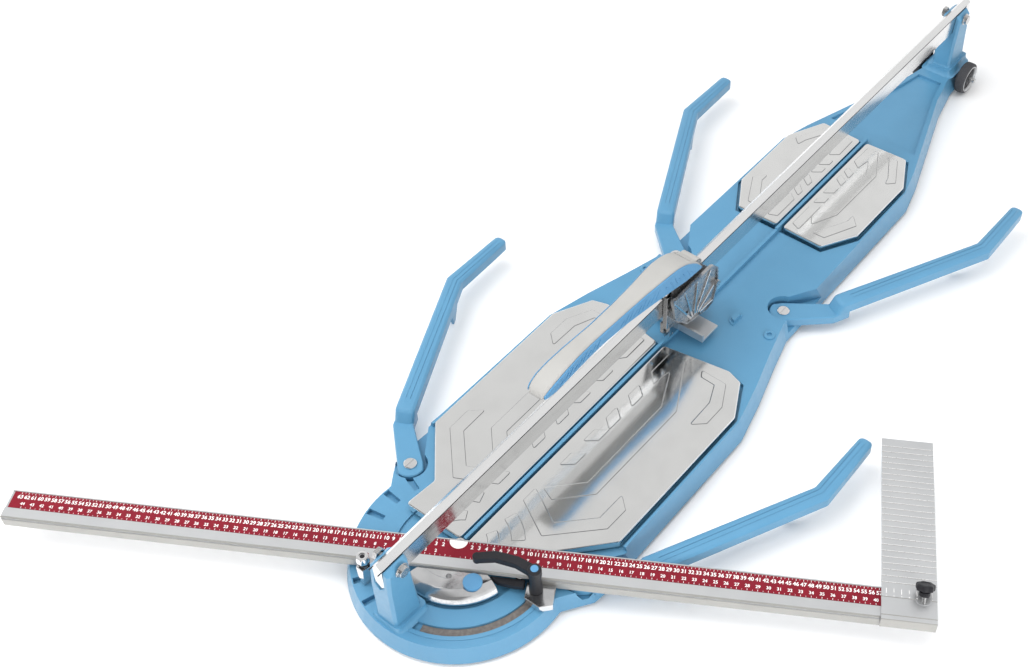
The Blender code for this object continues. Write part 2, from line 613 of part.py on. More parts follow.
def make_handle(grey, blue):
    """A bow-shaped grip whose rear end is a fork with a roof over the top rollers."""
    y, z = PIN
    origin = (0, y, z)
    handle = add("handle_grip", loft([handle_ring(*row) for row in HANDLE]), grey, origin)
    roof = arc(ROOF_OUT, 2, 140, 17, (y, z))
    lift = math.radians(ROOF_OPEN)
    shell = [(548, 158), (512, 156), (478, 172), (470, 186)]
    fuse(handle, prism(roof + shell[::-1], -FORK_OUT, FORK_OUT, "X"))
    inside = arc(ROOF_IN, 0, 180, 21, (y, z)) + [(y - ROOF_IN - 3, 180), (y - ROOF_IN - 3, 120), (620, 120), (620, z)]
    cut(handle, prism(inside, -FORK_IN, FORK_IN, "X"))
    rear = y + ROOF_OUT * math.cos(lift)
    cut(handle, box(-FORK_IN, FORK_IN, rear, y + 60, 120, z + ROOF_OUT * math.sin(lift)))
    cut(handle, rod("X", (0, y, z), 4 + BORE, -40, 40, 16))
    for word, side in (("left", -1), ("right", 1)):
        rings = []
        for sy, half, low, high in HANDLE[1:-1] + PANEL_TAIL:
            x0, x1 = side * (half + 1.3 * GAP), side * (half + 2.4)
            rings.append([(x0, sy, low + 4.5), (x1, sy, low + 5.5), (x1, sy, high - 6.5), (x0, sy, high - 5.5)])
        add(f"handle_panel_{word}", loft(rings), blue, origin)


def make_scorer(cast, steel, dark):
    y, z = SCORER
    holder = add("wheel_holder", box(-9, 9, y - 7, y + 15, z - 4, 84), cast, (0, y + 8, 84))
    cut(holder, box(-2.6, 2.6, y - 20, y + 11.5, 0, z + 12))
    cut(holder, rod("X", (0, y, z), 2 + BORE, -20, 20, 12))
    disc = [(2 + BORE, -1.5), (6, -1.5), (6, -1), (SCORER_RADIUS, 0), (6, 1), (6, 1.5), (2 + BORE, 1.5)]
    add("scoring_wheel", turned("X", (0, y, z), disc, 28, capped=False), dark, (0, y, z))
    add("scoring_axle", rod("X", (0, y, z), 2, -9, 9, 12), steel, (0, y, z))


def make_foot(cast):
    """The breaker foot: a cross bar with an upright lip, hung on its pin by one lug."""
    y, z = FOOT_PIN
    foot = add("breaker_foot", box(-53, 53, 503, 545, 56, 60), cast, (0, y, z))
    fuse(foot, box(-53, 53, 503, 507, 56, 71))
    fuse(foot, box(-10, 10, y - 6.5, y + 6.5, 58, z))
    fuse(foot, rod("X", (0, y, z), 6.5, -10, 10))
    cut(foot, rod("X", (0, y, z), 3 + BORE, -30, 30, 16))


def make_wheels(rubber, steel):
    y, z = WHEEL_AT
    add("transport_axle", rod("X", (0, y, z), 5, -WHEEL_OUT - 2, WHEEL_OUT + 2, 16), steel, (0, y, z))
    r, a, b = WHEEL_RADIUS, WHEEL_IN, WHEEL_OUT
    profile = [(5 + BORE, a), (14, a), (20, a + 3), (24, a), (r - 2, a + 1), (r, a + 4), (r, b - 4), (r - 2, b - 1),
               (24, b), (20, b - 3), (14, b - 3), (14, b), (5 + BORE, b)]
    for word, side in (("left", -1), ("right", 1)):
        turned_profile = [(radius, side * x) for radius, x in profile]
        wheel = turned("X", (0, y, z), turned_profile, 28, capped=False)
        add(f"transport_wheel_{word}", wheel, rubber, (0, y, z))


def main():
    clear_scene()
    paint = material("blue_paint", (0.14, 0.36, 0.60), 0.35)
    grip_blue = material("blue_plastic", (0.13, 0.35, 0.62), 0.5)
    polished = material("polished_steel", (0.80, 0.80, 0.79), 0.12, 1.0)
    chrome = material("chrome", (0.78, 0.78, 0.79), 0.10, 1.0)
    steel = material("steel", (0.55, 0.55, 0.56), 0.3, 1.0)
    aluminium = material("aluminium", (0.75, 0.75, 0.75), 0.4, 1.0)
    red = material("scale_red", (0.30, 0.01, 0.02), 0.4)
    grey = material("grip_grey", (0.60, 0.58, 0.54), 0.5)
    black = material("black_plastic", (0.02, 0.02, 0.025), 0.45)
    rubber = material("rubber", (0.03, 0.03, 0.035), 0.8)
    liner = material("slot_liner", (0.15, 0.13, 0.12), 0.7)

    make_base(paint)
    make_pads(rubber)
    make_slot_strip(liner)
    make_tables(polished, steel)
    make_arms(paint, chrome)

    pivot = bpy.data.objects.new("ruler_pivot", None)
    pivot.matrix_world = Matrix.Rotation(math.radians(SWIVEL), 4, "Z")
    bpy.context.scene.collection.objects.link(pivot)
    make_ruler(pivot, aluminium, red)
    make_sector(pivot, chrome, steel, grip_blue)
    make_index(pivot, chrome)
    make_clamp(pivot, chrome, black, steel)
    make_stop(pivot, aluminium, black)

    make_rail(chrome)
    make_posts(paint, steel)
    make_carriage(chrome, steel)
    make_rollers(steel)
    make_handle(grey, grip_blue)
    make_scorer(chrome, steel, steel)
    make_foot(polished)
    make_wheels(rubber, steel)


main()
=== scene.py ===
import json
import math

import bmesh
import bpy
import numpy as np
from mathutils import Matrix, Vector
from mathutils.geometry import delaunay_2d_cdt

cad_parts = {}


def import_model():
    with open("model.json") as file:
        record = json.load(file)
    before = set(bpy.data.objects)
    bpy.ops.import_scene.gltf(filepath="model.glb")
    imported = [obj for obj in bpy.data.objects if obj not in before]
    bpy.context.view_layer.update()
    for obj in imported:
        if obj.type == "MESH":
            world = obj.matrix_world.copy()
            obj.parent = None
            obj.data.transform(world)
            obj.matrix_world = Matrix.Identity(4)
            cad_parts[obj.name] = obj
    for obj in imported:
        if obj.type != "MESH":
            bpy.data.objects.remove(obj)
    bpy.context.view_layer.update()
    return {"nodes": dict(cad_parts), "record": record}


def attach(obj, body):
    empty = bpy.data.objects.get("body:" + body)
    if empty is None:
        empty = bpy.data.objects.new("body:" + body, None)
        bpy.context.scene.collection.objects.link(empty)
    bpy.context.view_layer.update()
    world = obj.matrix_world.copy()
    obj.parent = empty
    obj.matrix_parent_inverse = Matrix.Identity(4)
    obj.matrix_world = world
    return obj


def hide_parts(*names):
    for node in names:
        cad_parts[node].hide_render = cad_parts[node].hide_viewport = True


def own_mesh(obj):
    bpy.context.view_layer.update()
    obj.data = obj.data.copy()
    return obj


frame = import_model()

# The finished look of a manual tile cutter. Sizes are in millimetres until scaled() turns them into metres.
# +Y runs from the operator's end to the far end, and the ruler swivels round the origin.

MM = 0.001
NODES = frame["nodes"]
BODY_OF = {node: body for body, nodes in frame["record"]["behaviour"]["bodies"].items() for node in nodes}
SLOT_OF = {part["node"]: part["material_slot"] for part in frame["record"]["subparts"]}
SWIVEL = Matrix.Rotation(math.radians(30), 4, "Z")

# Places that the CAD fixes and that several pieces share
ARM_SCREWS = {"front": (158.4, 66.3), "rear": (106, 655)}
BUTTON = (32, -66)
PLUNGER = (-118, -60)
LEVER = (116, -57.3)
STOP_KNOB = (627, -20.5, 64)
WHEEL_AXLE = (1383, 31)
WHEEL_FACE = 44.6
PIN_BORE = 4.45
SCREW_BORE = 5.45


# ---------------------------------------------------------------- materials

def add_node(tree, kind, **values):
    node = tree.nodes.new(kind)
    for key, value in values.items():
        setattr(node, key, value)
    return node


class Shader:
    """A Principled material with a few node helpers. Noise follows the object's own coordinates."""

    def __init__(self, name, colour, roughness, metallic=0.0, **sockets):
        self.mat = bpy.data.materials.new(name)
        self.mat.use_nodes = True
        self.tree = self.mat.node_tree
        self.bsdf = self.tree.nodes["Principled BSDF"]
        self.bsdf.inputs["Base Color"].default_value = (*colour, 1)
        self.bsdf.inputs["Roughness"].default_value = roughness
        self.bsdf.inputs["Metallic"].default_value = metallic
        for key, value in sockets.items():
            self.bsdf.inputs[key.replace("_", " ")].default_value = value
        self.coords = self.node("ShaderNodeTexCoord").outputs["Object"]
        self.colour = (*colour, 1)
        self.height = None

    def node(self, kind, **values):
        return add_node(self.tree, kind, **values)

    def link(self, source, target):
        self.tree.links.new(source, target)

    def stretched(self, scale):
        mapping = self.node("ShaderNodeMapping")
        mapping.inputs["Scale"].default_value = scale
        self.link(self.coords, mapping.inputs["Vector"])
        return mapping.outputs["Vector"]

    def noise(self, size_mm, detail, stretch=(1, 1, 1)):
        noise = self.node("ShaderNodeTexNoise")
        noise.inputs["Scale"].default_value = 1000 / size_mm
        noise.inputs["Detail"].default_value = detail
        self.link(self.stretched(stretch), noise.inputs["Vector"])
        return noise.outputs["Fac"]

    def ramp(self, fac, low, high, start, stop):
        ramp = self.node("ShaderNodeMapRange")
        for key, value in (("From Min", low), ("From Max", high), ("To Min", start), ("To Max", stop)):
            ramp.inputs[key].default_value = value
        self.link(fac, ramp.inputs["Value"])
        return ramp.outputs["Result"]

    def tint(self, fac, low, high, colour):
        mix = self.node("ShaderNodeMix", data_type="RGBA")
        self.link(self.ramp(fac, low, high, 0, 1), mix.inputs["Factor"])
        source = self.bsdf.inputs["Base Color"]
        if source.is_linked:
            self.link(source.links[0].from_socket, mix.inputs["A"])
        else:
            mix.inputs["A"].default_value = self.colour
        mix.inputs["B"].default_value = (*colour, 1)
        self.link(mix.outputs["Result"], source)

    def rough(self, fac, low, high, start, stop):
        self.link(self.ramp(fac, low, high, start, stop), self.bsdf.inputs["Roughness"])

    def bump(self, fac, depth_mm, strength):
        bump = self.node("ShaderNodeBump")
        bump.inputs["Strength"].default_value = strength
        bump.inputs["Distance"].default_value = depth_mm * MM
        self.link(fac, bump.inputs["Height"])
        normal = self.bsdf.inputs["Normal"]
        if normal.is_linked:
            self.link(normal.links[0].from_socket, bump.inputs["Normal"])
        self.link(bump.outputs["Normal"], normal)


def make_material(name, colour, roughness, metallic=0.0, tones=(), bump=None, gloss=None, **sockets):
    """A surface: fainter second tones, a fine bump and an uneven gloss, each on its own noise.

    A noise is (size in mm, detail, stretch). A tone is (noise, from, to, colour), a bump is (noise, depth
    in mm, strength), and a gloss is (noise, from, to, roughness at the one end, roughness at the other).
    """
    shader = Shader(name, colour, roughness, metallic, **sockets)
    for noise, low, high, second in tones:
        shader.tint(shader.noise(*noise), low, high, second)
    if bump:
        noise, depth, strength = bump
        shader.bump(shader.noise(*noise), depth, strength)
    if gloss:
        noise, low, high, start, stop = gloss
        shader.rough(shader.noise(*noise), low, high, start, stop)
    return shader.mat


LOOKS = {
    "blue_paint": dict(colour=(0.092, 0.268, 0.435), roughness=0.36, Coat_Weight=0.25, Coat_Roughness=0.22,
        tones=[((60, 2), 0.35, 0.75, (0.085, 0.253, 0.415)), ((0.9, 4), 0.6, 0.78, (0.115, 0.3, 0.465))],
        bump=((1.6, 3), 0.12, 0.5), gloss=((9, 3), 0.3, 0.7, 0.31, 0.43)),
    "blue_plastic": dict(colour=(0.095, 0.27, 0.47), roughness=0.42,
        tones=[((30, 2), 0.4, 0.7, (0.085, 0.25, 0.445))], bump=((0.5, 3), 0.03, 0.4),
        gloss=((4, 3), 0.3, 0.7, 0.36, 0.5)),
    "polished_aluminium": dict(colour=(0.86, 0.86, 0.85), roughness=0.12, metallic=1.0,
        tones=[((45, 2), 0.4, 0.8, (0.81, 0.81, 0.8))], bump=((70, 1), 0.05, 0.2),
        gloss=((1.5, 3), 0.3, 0.75, 0.1, 0.16)),
    "chrome": dict(colour=(0.84, 0.84, 0.84), roughness=0.06, metallic=1.0,
        tones=[((20, 2), 0.45, 0.8, (0.78, 0.78, 0.79))], bump=((30, 2, (1, 0.1, 1)), 0.02, 0.2),
        gloss=((3, 3, (1, 0.05, 1)), 0.35, 0.75, 0.04, 0.13)),
    "steel": dict(colour=(0.62, 0.62, 0.62), roughness=0.25, metallic=1.0,
        tones=[((3, 4), 0.4, 0.8, (0.5, 0.5, 0.5))], bump=((0.7, 3), 0.03, 0.3),
        gloss=((2, 4), 0.3, 0.7, 0.18, 0.34)),
    "cast_alloy": dict(colour=(0.8, 0.8, 0.8), roughness=0.16, metallic=1.0,
        tones=[((9, 3), 0.46, 0.62, (0.4, 0.41, 0.43))], bump=((5, 3), 0.3, 0.5),
        gloss=((4, 4), 0.3, 0.7, 0.1, 0.3)),
    "cast_satin": dict(colour=(0.5, 0.51, 0.52), roughness=0.3, metallic=0.9,
        tones=[((12, 2), 0.38, 0.75, (0.34, 0.345, 0.355))], bump=((7, 2), 0.3, 0.4),
        gloss=((5, 4), 0.3, 0.7, 0.2, 0.4)),
    "cast_polished": dict(colour=(0.74, 0.74, 0.745), roughness=0.15, metallic=1.0,
        tones=[((30, 2), 0.42, 0.75, (0.6, 0.605, 0.615))], bump=((22, 2), 0.5, 0.35),
        gloss=((4, 4), 0.3, 0.7, 0.1, 0.22)),
    # a dark copy of the polished aluminium: painted shade on the tables' pad shoulders
    "pad_shoulder_shade": dict(colour=(0.27, 0.275, 0.28), roughness=0.34, metallic=1.0,
        tones=[((35, 2), 0.42, 0.7, (0.2, 0.205, 0.21))], gloss=((2, 3), 0.3, 0.7, 0.28, 0.42)),
    "rail_chrome": dict(colour=(0.8, 0.8, 0.8), roughness=0.17, metallic=1.0,
        tones=[((25, 2, (1, 0.1, 1)), 0.4, 0.8, (0.74, 0.74, 0.74))],
        bump=((30, 2, (1, 0.05, 1)), 0.03, 0.2), gloss=((3, 3, (1, 0.05, 1)), 0.35, 0.75, 0.13, 0.24)),
    "aluminium": dict(colour=(0.66, 0.67, 0.68), roughness=0.4, metallic=0.8,
        tones=[((50, 2), 0.4, 0.8, (0.61, 0.62, 0.63))], bump=((0.35, 2, (0.02, 1, 1)), 0.015, 0.4),
        gloss=((1.2, 3, (0.02, 1, 1)), 0.3, 0.7, 0.3, 0.44)),
    # a darker copy of the aluminium: painted shade on the faces turned to the front
    "aluminium_front_shade": dict(colour=(0.43, 0.425, 0.405), roughness=0.46, metallic=0.6,
        tones=[((40, 2), 0.4, 0.8, (0.39, 0.385, 0.37))], bump=((0.4, 2, (0.02, 1, 1)), 0.015, 0.4),
        gloss=((1.2, 3, (0.02, 1, 1)), 0.3, 0.7, 0.4, 0.52)),
    # a brighter copy of the aluminium: painted highlight on the stop's ribs
    "rib_painted_highlight": dict(colour=(0.82, 0.82, 0.825), roughness=0.3, metallic=0.5,
        tones=[((9, 3), 0.4, 0.7, (0.75, 0.755, 0.76))], gloss=((2, 3), 0.3, 0.7, 0.24, 0.38)),
    "scale_red": dict(colour=(0.2, 0.008, 0.02), roughness=0.5, Specular_IOR_Level=0.25,
        tones=[((18, 2), 0.4, 0.75, (0.165, 0.007, 0.017))], gloss=((3, 3), 0.3, 0.7, 0.45, 0.58)),
    "scale_white": dict(colour=(0.86, 0.85, 0.84), roughness=0.4,
        tones=[((2, 2), 0.45, 0.8, (0.8, 0.79, 0.78))], gloss=((3, 3), 0.3, 0.7, 0.34, 0.46)),
    "grip_grey": dict(colour=(0.41, 0.405, 0.39), roughness=0.48,
        tones=[((40, 2), 0.4, 0.75, (0.385, 0.38, 0.365))], bump=((0.6, 3), 0.05, 0.45),
        gloss=((3, 3), 0.3, 0.7, 0.42, 0.56)),
    "black_plastic": dict(colour=(0.016, 0.016, 0.019), roughness=0.42, Specular_IOR_Level=0.3,
        tones=[((0.6, 3), 0.55, 0.8, (0.03, 0.03, 0.034))], bump=((0.5, 3), 0.05, 0.5),
        gloss=((3, 3), 0.3, 0.7, 0.34, 0.48)),
    "rubber": dict(colour=(0.045, 0.045, 0.05), roughness=0.72,
        tones=[((1.2, 4), 0.45, 0.8, (0.075, 0.075, 0.08))], bump=((0.9, 4), 0.12, 0.6),
        gloss=((2, 3), 0.3, 0.7, 0.62, 0.82)),
    "slot_liner": dict(colour=(0.135, 0.12, 0.11), roughness=0.6,
        tones=[((5, 3), 0.4, 0.75, (0.2, 0.18, 0.165))], bump=((1.2, 3), 0.1, 0.5),
        gloss=((3, 3), 0.3, 0.7, 0.5, 0.7)),
    "studio_floor": dict(colour=(0.93, 0.93, 0.93), roughness=0.7,
        tones=[((400, 2), 0.4, 0.8, (0.92, 0.92, 0.925))]),
}
MATS = {name: make_material(name, **look) for name, look in LOOKS.items()}


# ---------------------------------------------------------------- pieces

def new_piece(name, bm, mat, body, replaces=(), smooth=35):
    """Make a visible piece from a mesh in metres, and let it ride on a body."""
    mesh = bpy.data.meshes.new(name)
    bm.to_mesh(mesh)
    bm.free()
    mesh.materials.append(MATS[mat])
    mesh.shade_smooth()
    if smooth:
        mesh.set_sharp_from_angle(angle=math.radians(smooth))
    obj = bpy.data.objects.new(name, mesh)
    bpy.context.scene.collection.objects.link(obj)
    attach(obj, body)
    if replaces:
        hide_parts(*replaces)
    return obj


def rounded(obj, width_mm, segments=2, angle=28):
    """Round the edges that are sharper than an angle."""
    bevel = obj.modifiers.new("edge", "BEVEL")
    bevel.width = width_mm * MM
    bevel.segments = segments
    bevel.limit_method = "ANGLE"
    bevel.angle_limit = math.radians(angle)
    bevel.miter_outer = "MITER_ARC"
    even_shading(obj, 80)
    return obj


def clean_copy(node, merge=True):
    """A CAD part's mesh, welded, and with its flat faces merged if asked."""
    bm = bmesh.new()
    bm.from_mesh(NODES[node].data)
    bmesh.ops.remove_doubles(bm, verts=bm.verts, dist=2e-6)
    if merge:
        bmesh.ops.dissolve_limit(bm, angle_limit=math.radians(0.6), verts=bm.verts, edges=bm.edges)
        if node == "base_casting":
            # its large flat faces have notched outlines, and ear clipping fills them with no flipped triangle
            many_sided = [face for face in bm.faces if len(face.verts) > 12]
            bmesh.ops.triangulate(bm, faces=many_sided, ngon_method="EAR_CLIP")
    return bm


def finish_node(node, width_mm, mat=None, segments=2, angle=28):
    """A CAD part with its edges rounded the way a casting or moulding is."""
    mat = mat or SLOT_OF[node]
    piece = new_piece(node + "_finish", clean_copy(node), mat, BODY_OF[node], (node,))
    return rounded(piece, width_mm, segments, angle)


def scaled(bm, matrix=None):
    """Millimetres to metres, then turned or moved."""
    bmesh.ops.scale(bm, verts=bm.verts, vec=(MM, MM, MM))
    if matrix:
        bmesh.ops.transform(bm, verts=bm.verts, matrix=matrix)
    return bm


def ring_loft(bm, rings, capped=True):
    """Skin a row of rings, with flat ends, or with the last ring joined to the first."""
    layers = [[bm.verts.new(p) for p in ring] for ring in rings]
    pairs = list(zip(layers, layers[1:]))
    if not capped:
        pairs.append((layers[-1], layers[0]))
    for low, high in pairs:
        for i, vert in enumerate(low):
            j = (i + 1) % len(low)
            bm.faces.new((vert, low[j], high[j], high[i]))
    if capped:
        bm.faces.new(list(reversed(layers[0])))
        bm.faces.new(layers[-1])
    bmesh.ops.recalc_face_normals(bm, faces=bm.faces)
    return bm


def lathe(axis, centre, profile, count=48, capped=True, wave=None):
    """Revolve (radius, distance) round an axis; wave(angle, radius) may vary the radius."""
    rings = []
    x, y, z = centre
    for radius, along in profile:
        ring = []
        for i in range(count):
            angle = 2 * math.pi * i / count
            r = wave(angle, radius) if wave else radius
            a, b = r * math.cos(angle), r * math.sin(angle)
            ring.append({"X": (x + along, y + a, z + b), "Z": (x + a, y + b, z + along)}[axis])
        rings.append(ring)
    return ring_loft(bmesh.new(), rings, capped)


def arc(centre, radius, degrees):
    """Points on a circle, at the given angles."""
    x, y = centre
    turns = [math.radians(angle) for angle in degrees]
    return [(x + radius * math.cos(turn), y + radius * math.sin(turn)) for turn in turns]


def drill(obj, axis, centre, radius, low, high, count=24, matrix=None):
    """Cut a round hole."""
    carve(obj, scaled(lathe(axis, centre, [(radius, low), (radius, high)], count), matrix))


def even_shading(obj, weight):
    modifier = obj.modifiers.new("even", "WEIGHTED_NORMAL")
    modifier.keep_sharp = True
    modifier.weight = weight


def smooth_faces(mesh, sharp_angle):
    mesh.shade_smooth()
    mesh.set_sharp_from_angle(angle=math.radians(sharp_angle))


def carve(obj, bm, operation="DIFFERENCE"):
    """Cut a closed shape out of a piece, or join it on."""
    mesh = bpy.data.meshes.new("tool")
    bm.to_mesh(mesh)
    bm.free()
    tool = bpy.data.objects.new("tool", mesh)
    bpy.context.scene.collection.objects.link(tool)
    modifier = obj.modifiers.new("shape", "BOOLEAN")
    modifier.operation = operation
    modifier.object = tool
    result = bpy.data.meshes.new_from_object(obj.evaluated_get(bpy.context.evaluated_depsgraph_get()))
    obj.modifiers.clear()
    obj.data = result
    bpy.data.objects.remove(tool)


def extrude(outline, low, high, axis="Z", bm=None):
    """A prism along Z from an outline in XY, or along X from an outline in YZ."""
    place = {"Z": lambda p, h: (p[0], p[1], h), "X": lambda p, h: (h, p[0], p[1])}[axis]
    return ring_loft(bm or bmesh.new(), [[place(p, h) for p in outline] for h in (low, high)])


def bar(bm, x0, x1, y0, y1, z0, z1):
    return extrude([(x0, y0), (x1, y0), (x1, y1), (x0, y1)], z0, z1, bm=bm)


# ---------------------------------------------------------------- tables

def inset(points, distance):
    """Move a counter-clockwise outline inward by a distance, with mitred corners."""
    moved = []
    for i, (x, y) in enumerate(points):
        (ax, ay), (bx, by) = points[i - 1], points[(i + 1) % len(points)]
        u, v = Vector((x - ax, y - ay)).normalized(), Vector((bx - x, by - y)).normalized()
        normal = Vector((-u.y - v.y, u.x + v.x))
        normal *= 2 * distance / max(normal.length_squared, 0.5)
        moved.append((x + normal.x, y + normal.y))
    return moved


def filleted(points, radius, count=5):
    """Round an outline's corners, and turn it counter-clockwise."""
    area = sum(a[0] * b[1] - a[1] * b[0] for a, b in zip(points, points[1:] + points[:1]))
    points = points if area > 0 else points[::-1]
    result = []
    for i, corner in enumerate(points):
        before, after = Vector(points[i - 1]), Vector(points[(i + 1) % len(points)])
        corner = Vector(corner)
        u, v = before - corner, after - corner
        bend = math.pi - u.angle(v)
        reach = min(radius * math.tan(bend / 2), 0.45 * u.length, 0.45 * v.length)
        if bend < 0.25:
            result.append(tuple(corner))
            continue
        start, end = corner + u.normalized() * reach, corner + v.normalized() * reach
        for k in range(count):
            t = k / (count - 1)
            result.append(tuple(start * (1 - t) ** 2 + corner * 2 * t * (1 - t) + end * t ** 2))
    return result


def arc_band(inner, outer, first, last, count=9):
    """A curved band round the origin."""
    degrees = [first + (last - first) * i / (count - 1) for i in range(count)]
    return arc((0, 0), outer, degrees) + arc((0, 0), inner, degrees[::-1])


def lozenge(x0, x1, low, rise, near, far):
    """A slanting pad between two lines along Y; near and far are its heights at the two sides."""
    return [(x0, low), (x1, low - rise), (x1, low - rise + far), (x0, low + near)]


FRONT_OUTLINE = [(6, 6), (106, 4), (101, 58), (173, 137), (174.5, 415), (143, 477), (117, 485), (6, 467)]
REAR_OUTLINE = [(6, 804), (82, 803), (117, 864), (118, 1015), (85, 1083), (6, 1080)]
FRONT_PADS = [
    [(31, 142), (76, 188), (76.5, 364), (46, 429), (43, 415), (42, 391), (24, 411), (24, 457), (52, 458),
     (100, 370), (98.5, 179), (54, 133)],
    [(23, 108), (82, 77), (147, 142), (148, 182), (128, 200), (127, 150), (81, 104), (46, 123), (23, 135)],
    [(90, 448), (115, 447), (129, 414), (130, 362), (149, 379), (149, 418), (128, 459), (83, 460)],
    arc_band(71, 90, 40, 71), arc_band(38, 54, 26, 60),
] + [lozenge(24, 42, low, rise, 27, 27) for low, rise in ((352, 15), (297, 15), (187, -15), (242, -15))]
REAR_PADS = [
    [(32, 854), (49, 887), (49.5, 1003), (34, 1040), (30, 1010), (15, 1022), (16, 1068), (36, 1069),
     (66, 1010), (64, 884), (42, 838)],
    [(55, 1069), (75, 1069), (102, 1015), (89, 1002), (84, 1020), (62, 1062)],
    [(54, 822), (76, 823), (104, 880), (86, 900), (86, 882), (61, 835)],
    [(15, 822), (31, 815), (31, 886), (15, 874)],
] + [lozenge(15, 31, low, rise, 14, 17) for low, rise in ((988, 12), (963, 12), (917, -12), (886, -12))]


def nearest(ring, x, y):
    """Index of the ring's point that is nearest to a place."""
    return min(range(len(ring)), key=lambda i: (ring[i][0] - x) ** 2 + (ring[i][1] - y) ** 2)


def pressed_table(name, outline, pads, node, side):
    """A pressed pan: rolled edges, a flat field and raised pads with crisp soft-shouldered outlines."""
    top, low, under = 52.0, 38.2, 48
    roll, rise, shoulder = 3.0, 0.6, 0.95
    field = top - rise
    rim = filleted(outline, 7)
    points, heights, edges = [], [], []

    def loop(ring, height):
        start = len(points)
        points.extend(Vector(p) for p in ring)
        heights.extend([height] * len(ring))
        edges.extend((start + i, start + (i + 1) % len(ring)) for i in range(len(ring)))

    for k in range(5):
        turn = math.radians(22.5 * k)
        loop(inset(rim, roll * (1 - math.cos(turn)) + 0.01 * k), field - roll * (1 - math.sin(turn)))
    for pad in pads:
        ring = filleted(pad, 2.6)
        for distance, share in ((-1, 0), (-0.45, 0.1), (0.45, 0.9), (1, 1)):
            loop(inset(ring, distance * shoulder), field + rise * share)
    flat, _, faces, origin, _, _ = delaunay_2d_cdt(points, edges, [], 1, 1e-4)
    bm = bmesh.new()
    plate = []
    for point, source in zip(flat, origin):
        height = heights[source[0]] if source else field
        plate.append(bm.verts.new((side * point.x, point.y, height)))
    for face in faces:
        bm.faces.new([plate[i] for i in face])
    bmesh.ops.dissolve_limit(bm, angle_limit=math.radians(0.2), verts=bm.verts, edges=bm.edges)
    border = [v for v in bm.verts if v.is_boundary]
    border.sort(key=lambda v: nearest(rim, side * v.co.x, v.co.y))
    rings = [border]
    for distance, height in ((0, low), (2, low), (3.6, under)):
        rings.append([bm.verts.new((side * x, y, height)) for x, y in inset(rim, distance)])
    for upper, lower in zip(rings, rings[1:]):
        for i, vert in enumerate(upper):
            j = (i + 1) % len(upper)
            bm.faces.new((vert, upper[j], lower[j], lower[i]))
    bm.faces.new(rings[-1])
    bmesh.ops.recalc_face_normals(bm, faces=bm.faces)
    # painted shade: the pads' sloped shoulders take a dark copy of the polished aluminium
    for face in bm.faces:
        levels = [v.co.z for v in face.verts]
        on_shoulder = min(levels) > field - 0.01 and max(levels) - min(levels) > 0.5 * rise
        face.material_index = int(on_shoulder)
    piece = new_piece(name, scaled(bm), "polished_aluminium", BODY_OF[node],
                      (node,), 50)
    piece.data.materials.append(MATS["pad_shoulder_shade"])
    even_shading(piece, 90)


# ---------------------------------------------------------------- ruler print

def text_mesh(text, size):
    curve = bpy.data.curves.new("glyph", "FONT")
    curve.body = text
    curve.size = size
    curve.align_x = "CENTER"
    curve.align_y = "CENTER"
    curve.resolution_u = 3
    curve.offset = size * 0.022
    obj = bpy.data.objects.new("glyph", curve)
    bpy.context.scene.collection.objects.link(obj)
    mesh = bpy.data.meshes.new_from_object(obj.evaluated_get(bpy.context.evaluated_depsgraph_get()))
    bpy.data.objects.remove(obj)
    bpy.data.curves.remove(curve)
    return mesh


def make_print():
    """White numerals and ticks: centimetres along the back, diagonal centimetres in front."""
    bm = bmesh.new()
    top = 59.86
    straight_row, diagonal_row = -10.9, -22.0
    back_line, front_line = -2.6, -29.2
    last, last_diagonal, reach = 63, 45, 636

    def stamp(text, x, y, size):
        mesh = text_mesh(text, size)
        part = bmesh.new()
        part.from_mesh(mesh)
        bmesh.ops.translate(part, verts=part.verts, vec=(x, y, top))
        part.to_mesh(mesh)
        part.free()
        bm.from_mesh(mesh)
        bpy.data.meshes.remove(mesh)

    def tick(x, y0, y1, half):
        corners = [(x - half, y0, top), (x + half, y0, top), (x + half, y1, top), (x - half, y1, top)]
        bm.faces.new([bm.verts.new(c) for c in corners])

    for side in (-1, 1):
        for n in range(1, last + 1):
            x = side * n * 10.0
            if n > 1:
                stamp(str(n), x, straight_row, 8.2)
            tick(x, -5.8, back_line, 0.32)
            tick(x - side * 5, -4.6, back_line, 0.22)
            diagonal = side * n * 10.0 * math.sqrt(2)
            if n > last_diagonal or abs(diagonal) >= reach:
                continue
            if n > 1:
                stamp(str(n), diagonal, diagonal_row, 6.6)
            tick(diagonal, front_line, -26.4, 0.3)
            tick(diagonal - side * 7.07, front_line, -27.4, 0.22)
    bmesh.ops.recalc_face_normals(bm, faces=bm.faces)
    for face in bm.faces:
        if face.normal.z < 0:
            face.normal_flip()
    new_piece("scale_print", scaled(bm, SWIVEL), "scale_white", "ruler", (), 0)
    disc = scaled(extrude(arc((0, -2.4), 12.8, range(180, 361, 6)), 59.75, 60.3), SWIVEL)
    rounded(new_piece("zero_disc", disc, "scale_white", "ruler"), 0.15)


# ---------------------------------------------------------------- square stop

def dull_fronts(piece):
    """Painted shade: the faces turned to the front get a darker, duller copy of the aluminium than the
    brushed top.
    """
    slot = len(piece.data.materials)
    piece.data.materials.append(MATS["aluminium_front_shade"])
    turn = SWIVEL.inverted().to_3x3()
    for face in piece.data.polygons:
        if (turn @ face.normal).y < -0.6:
            face.material_index = slot


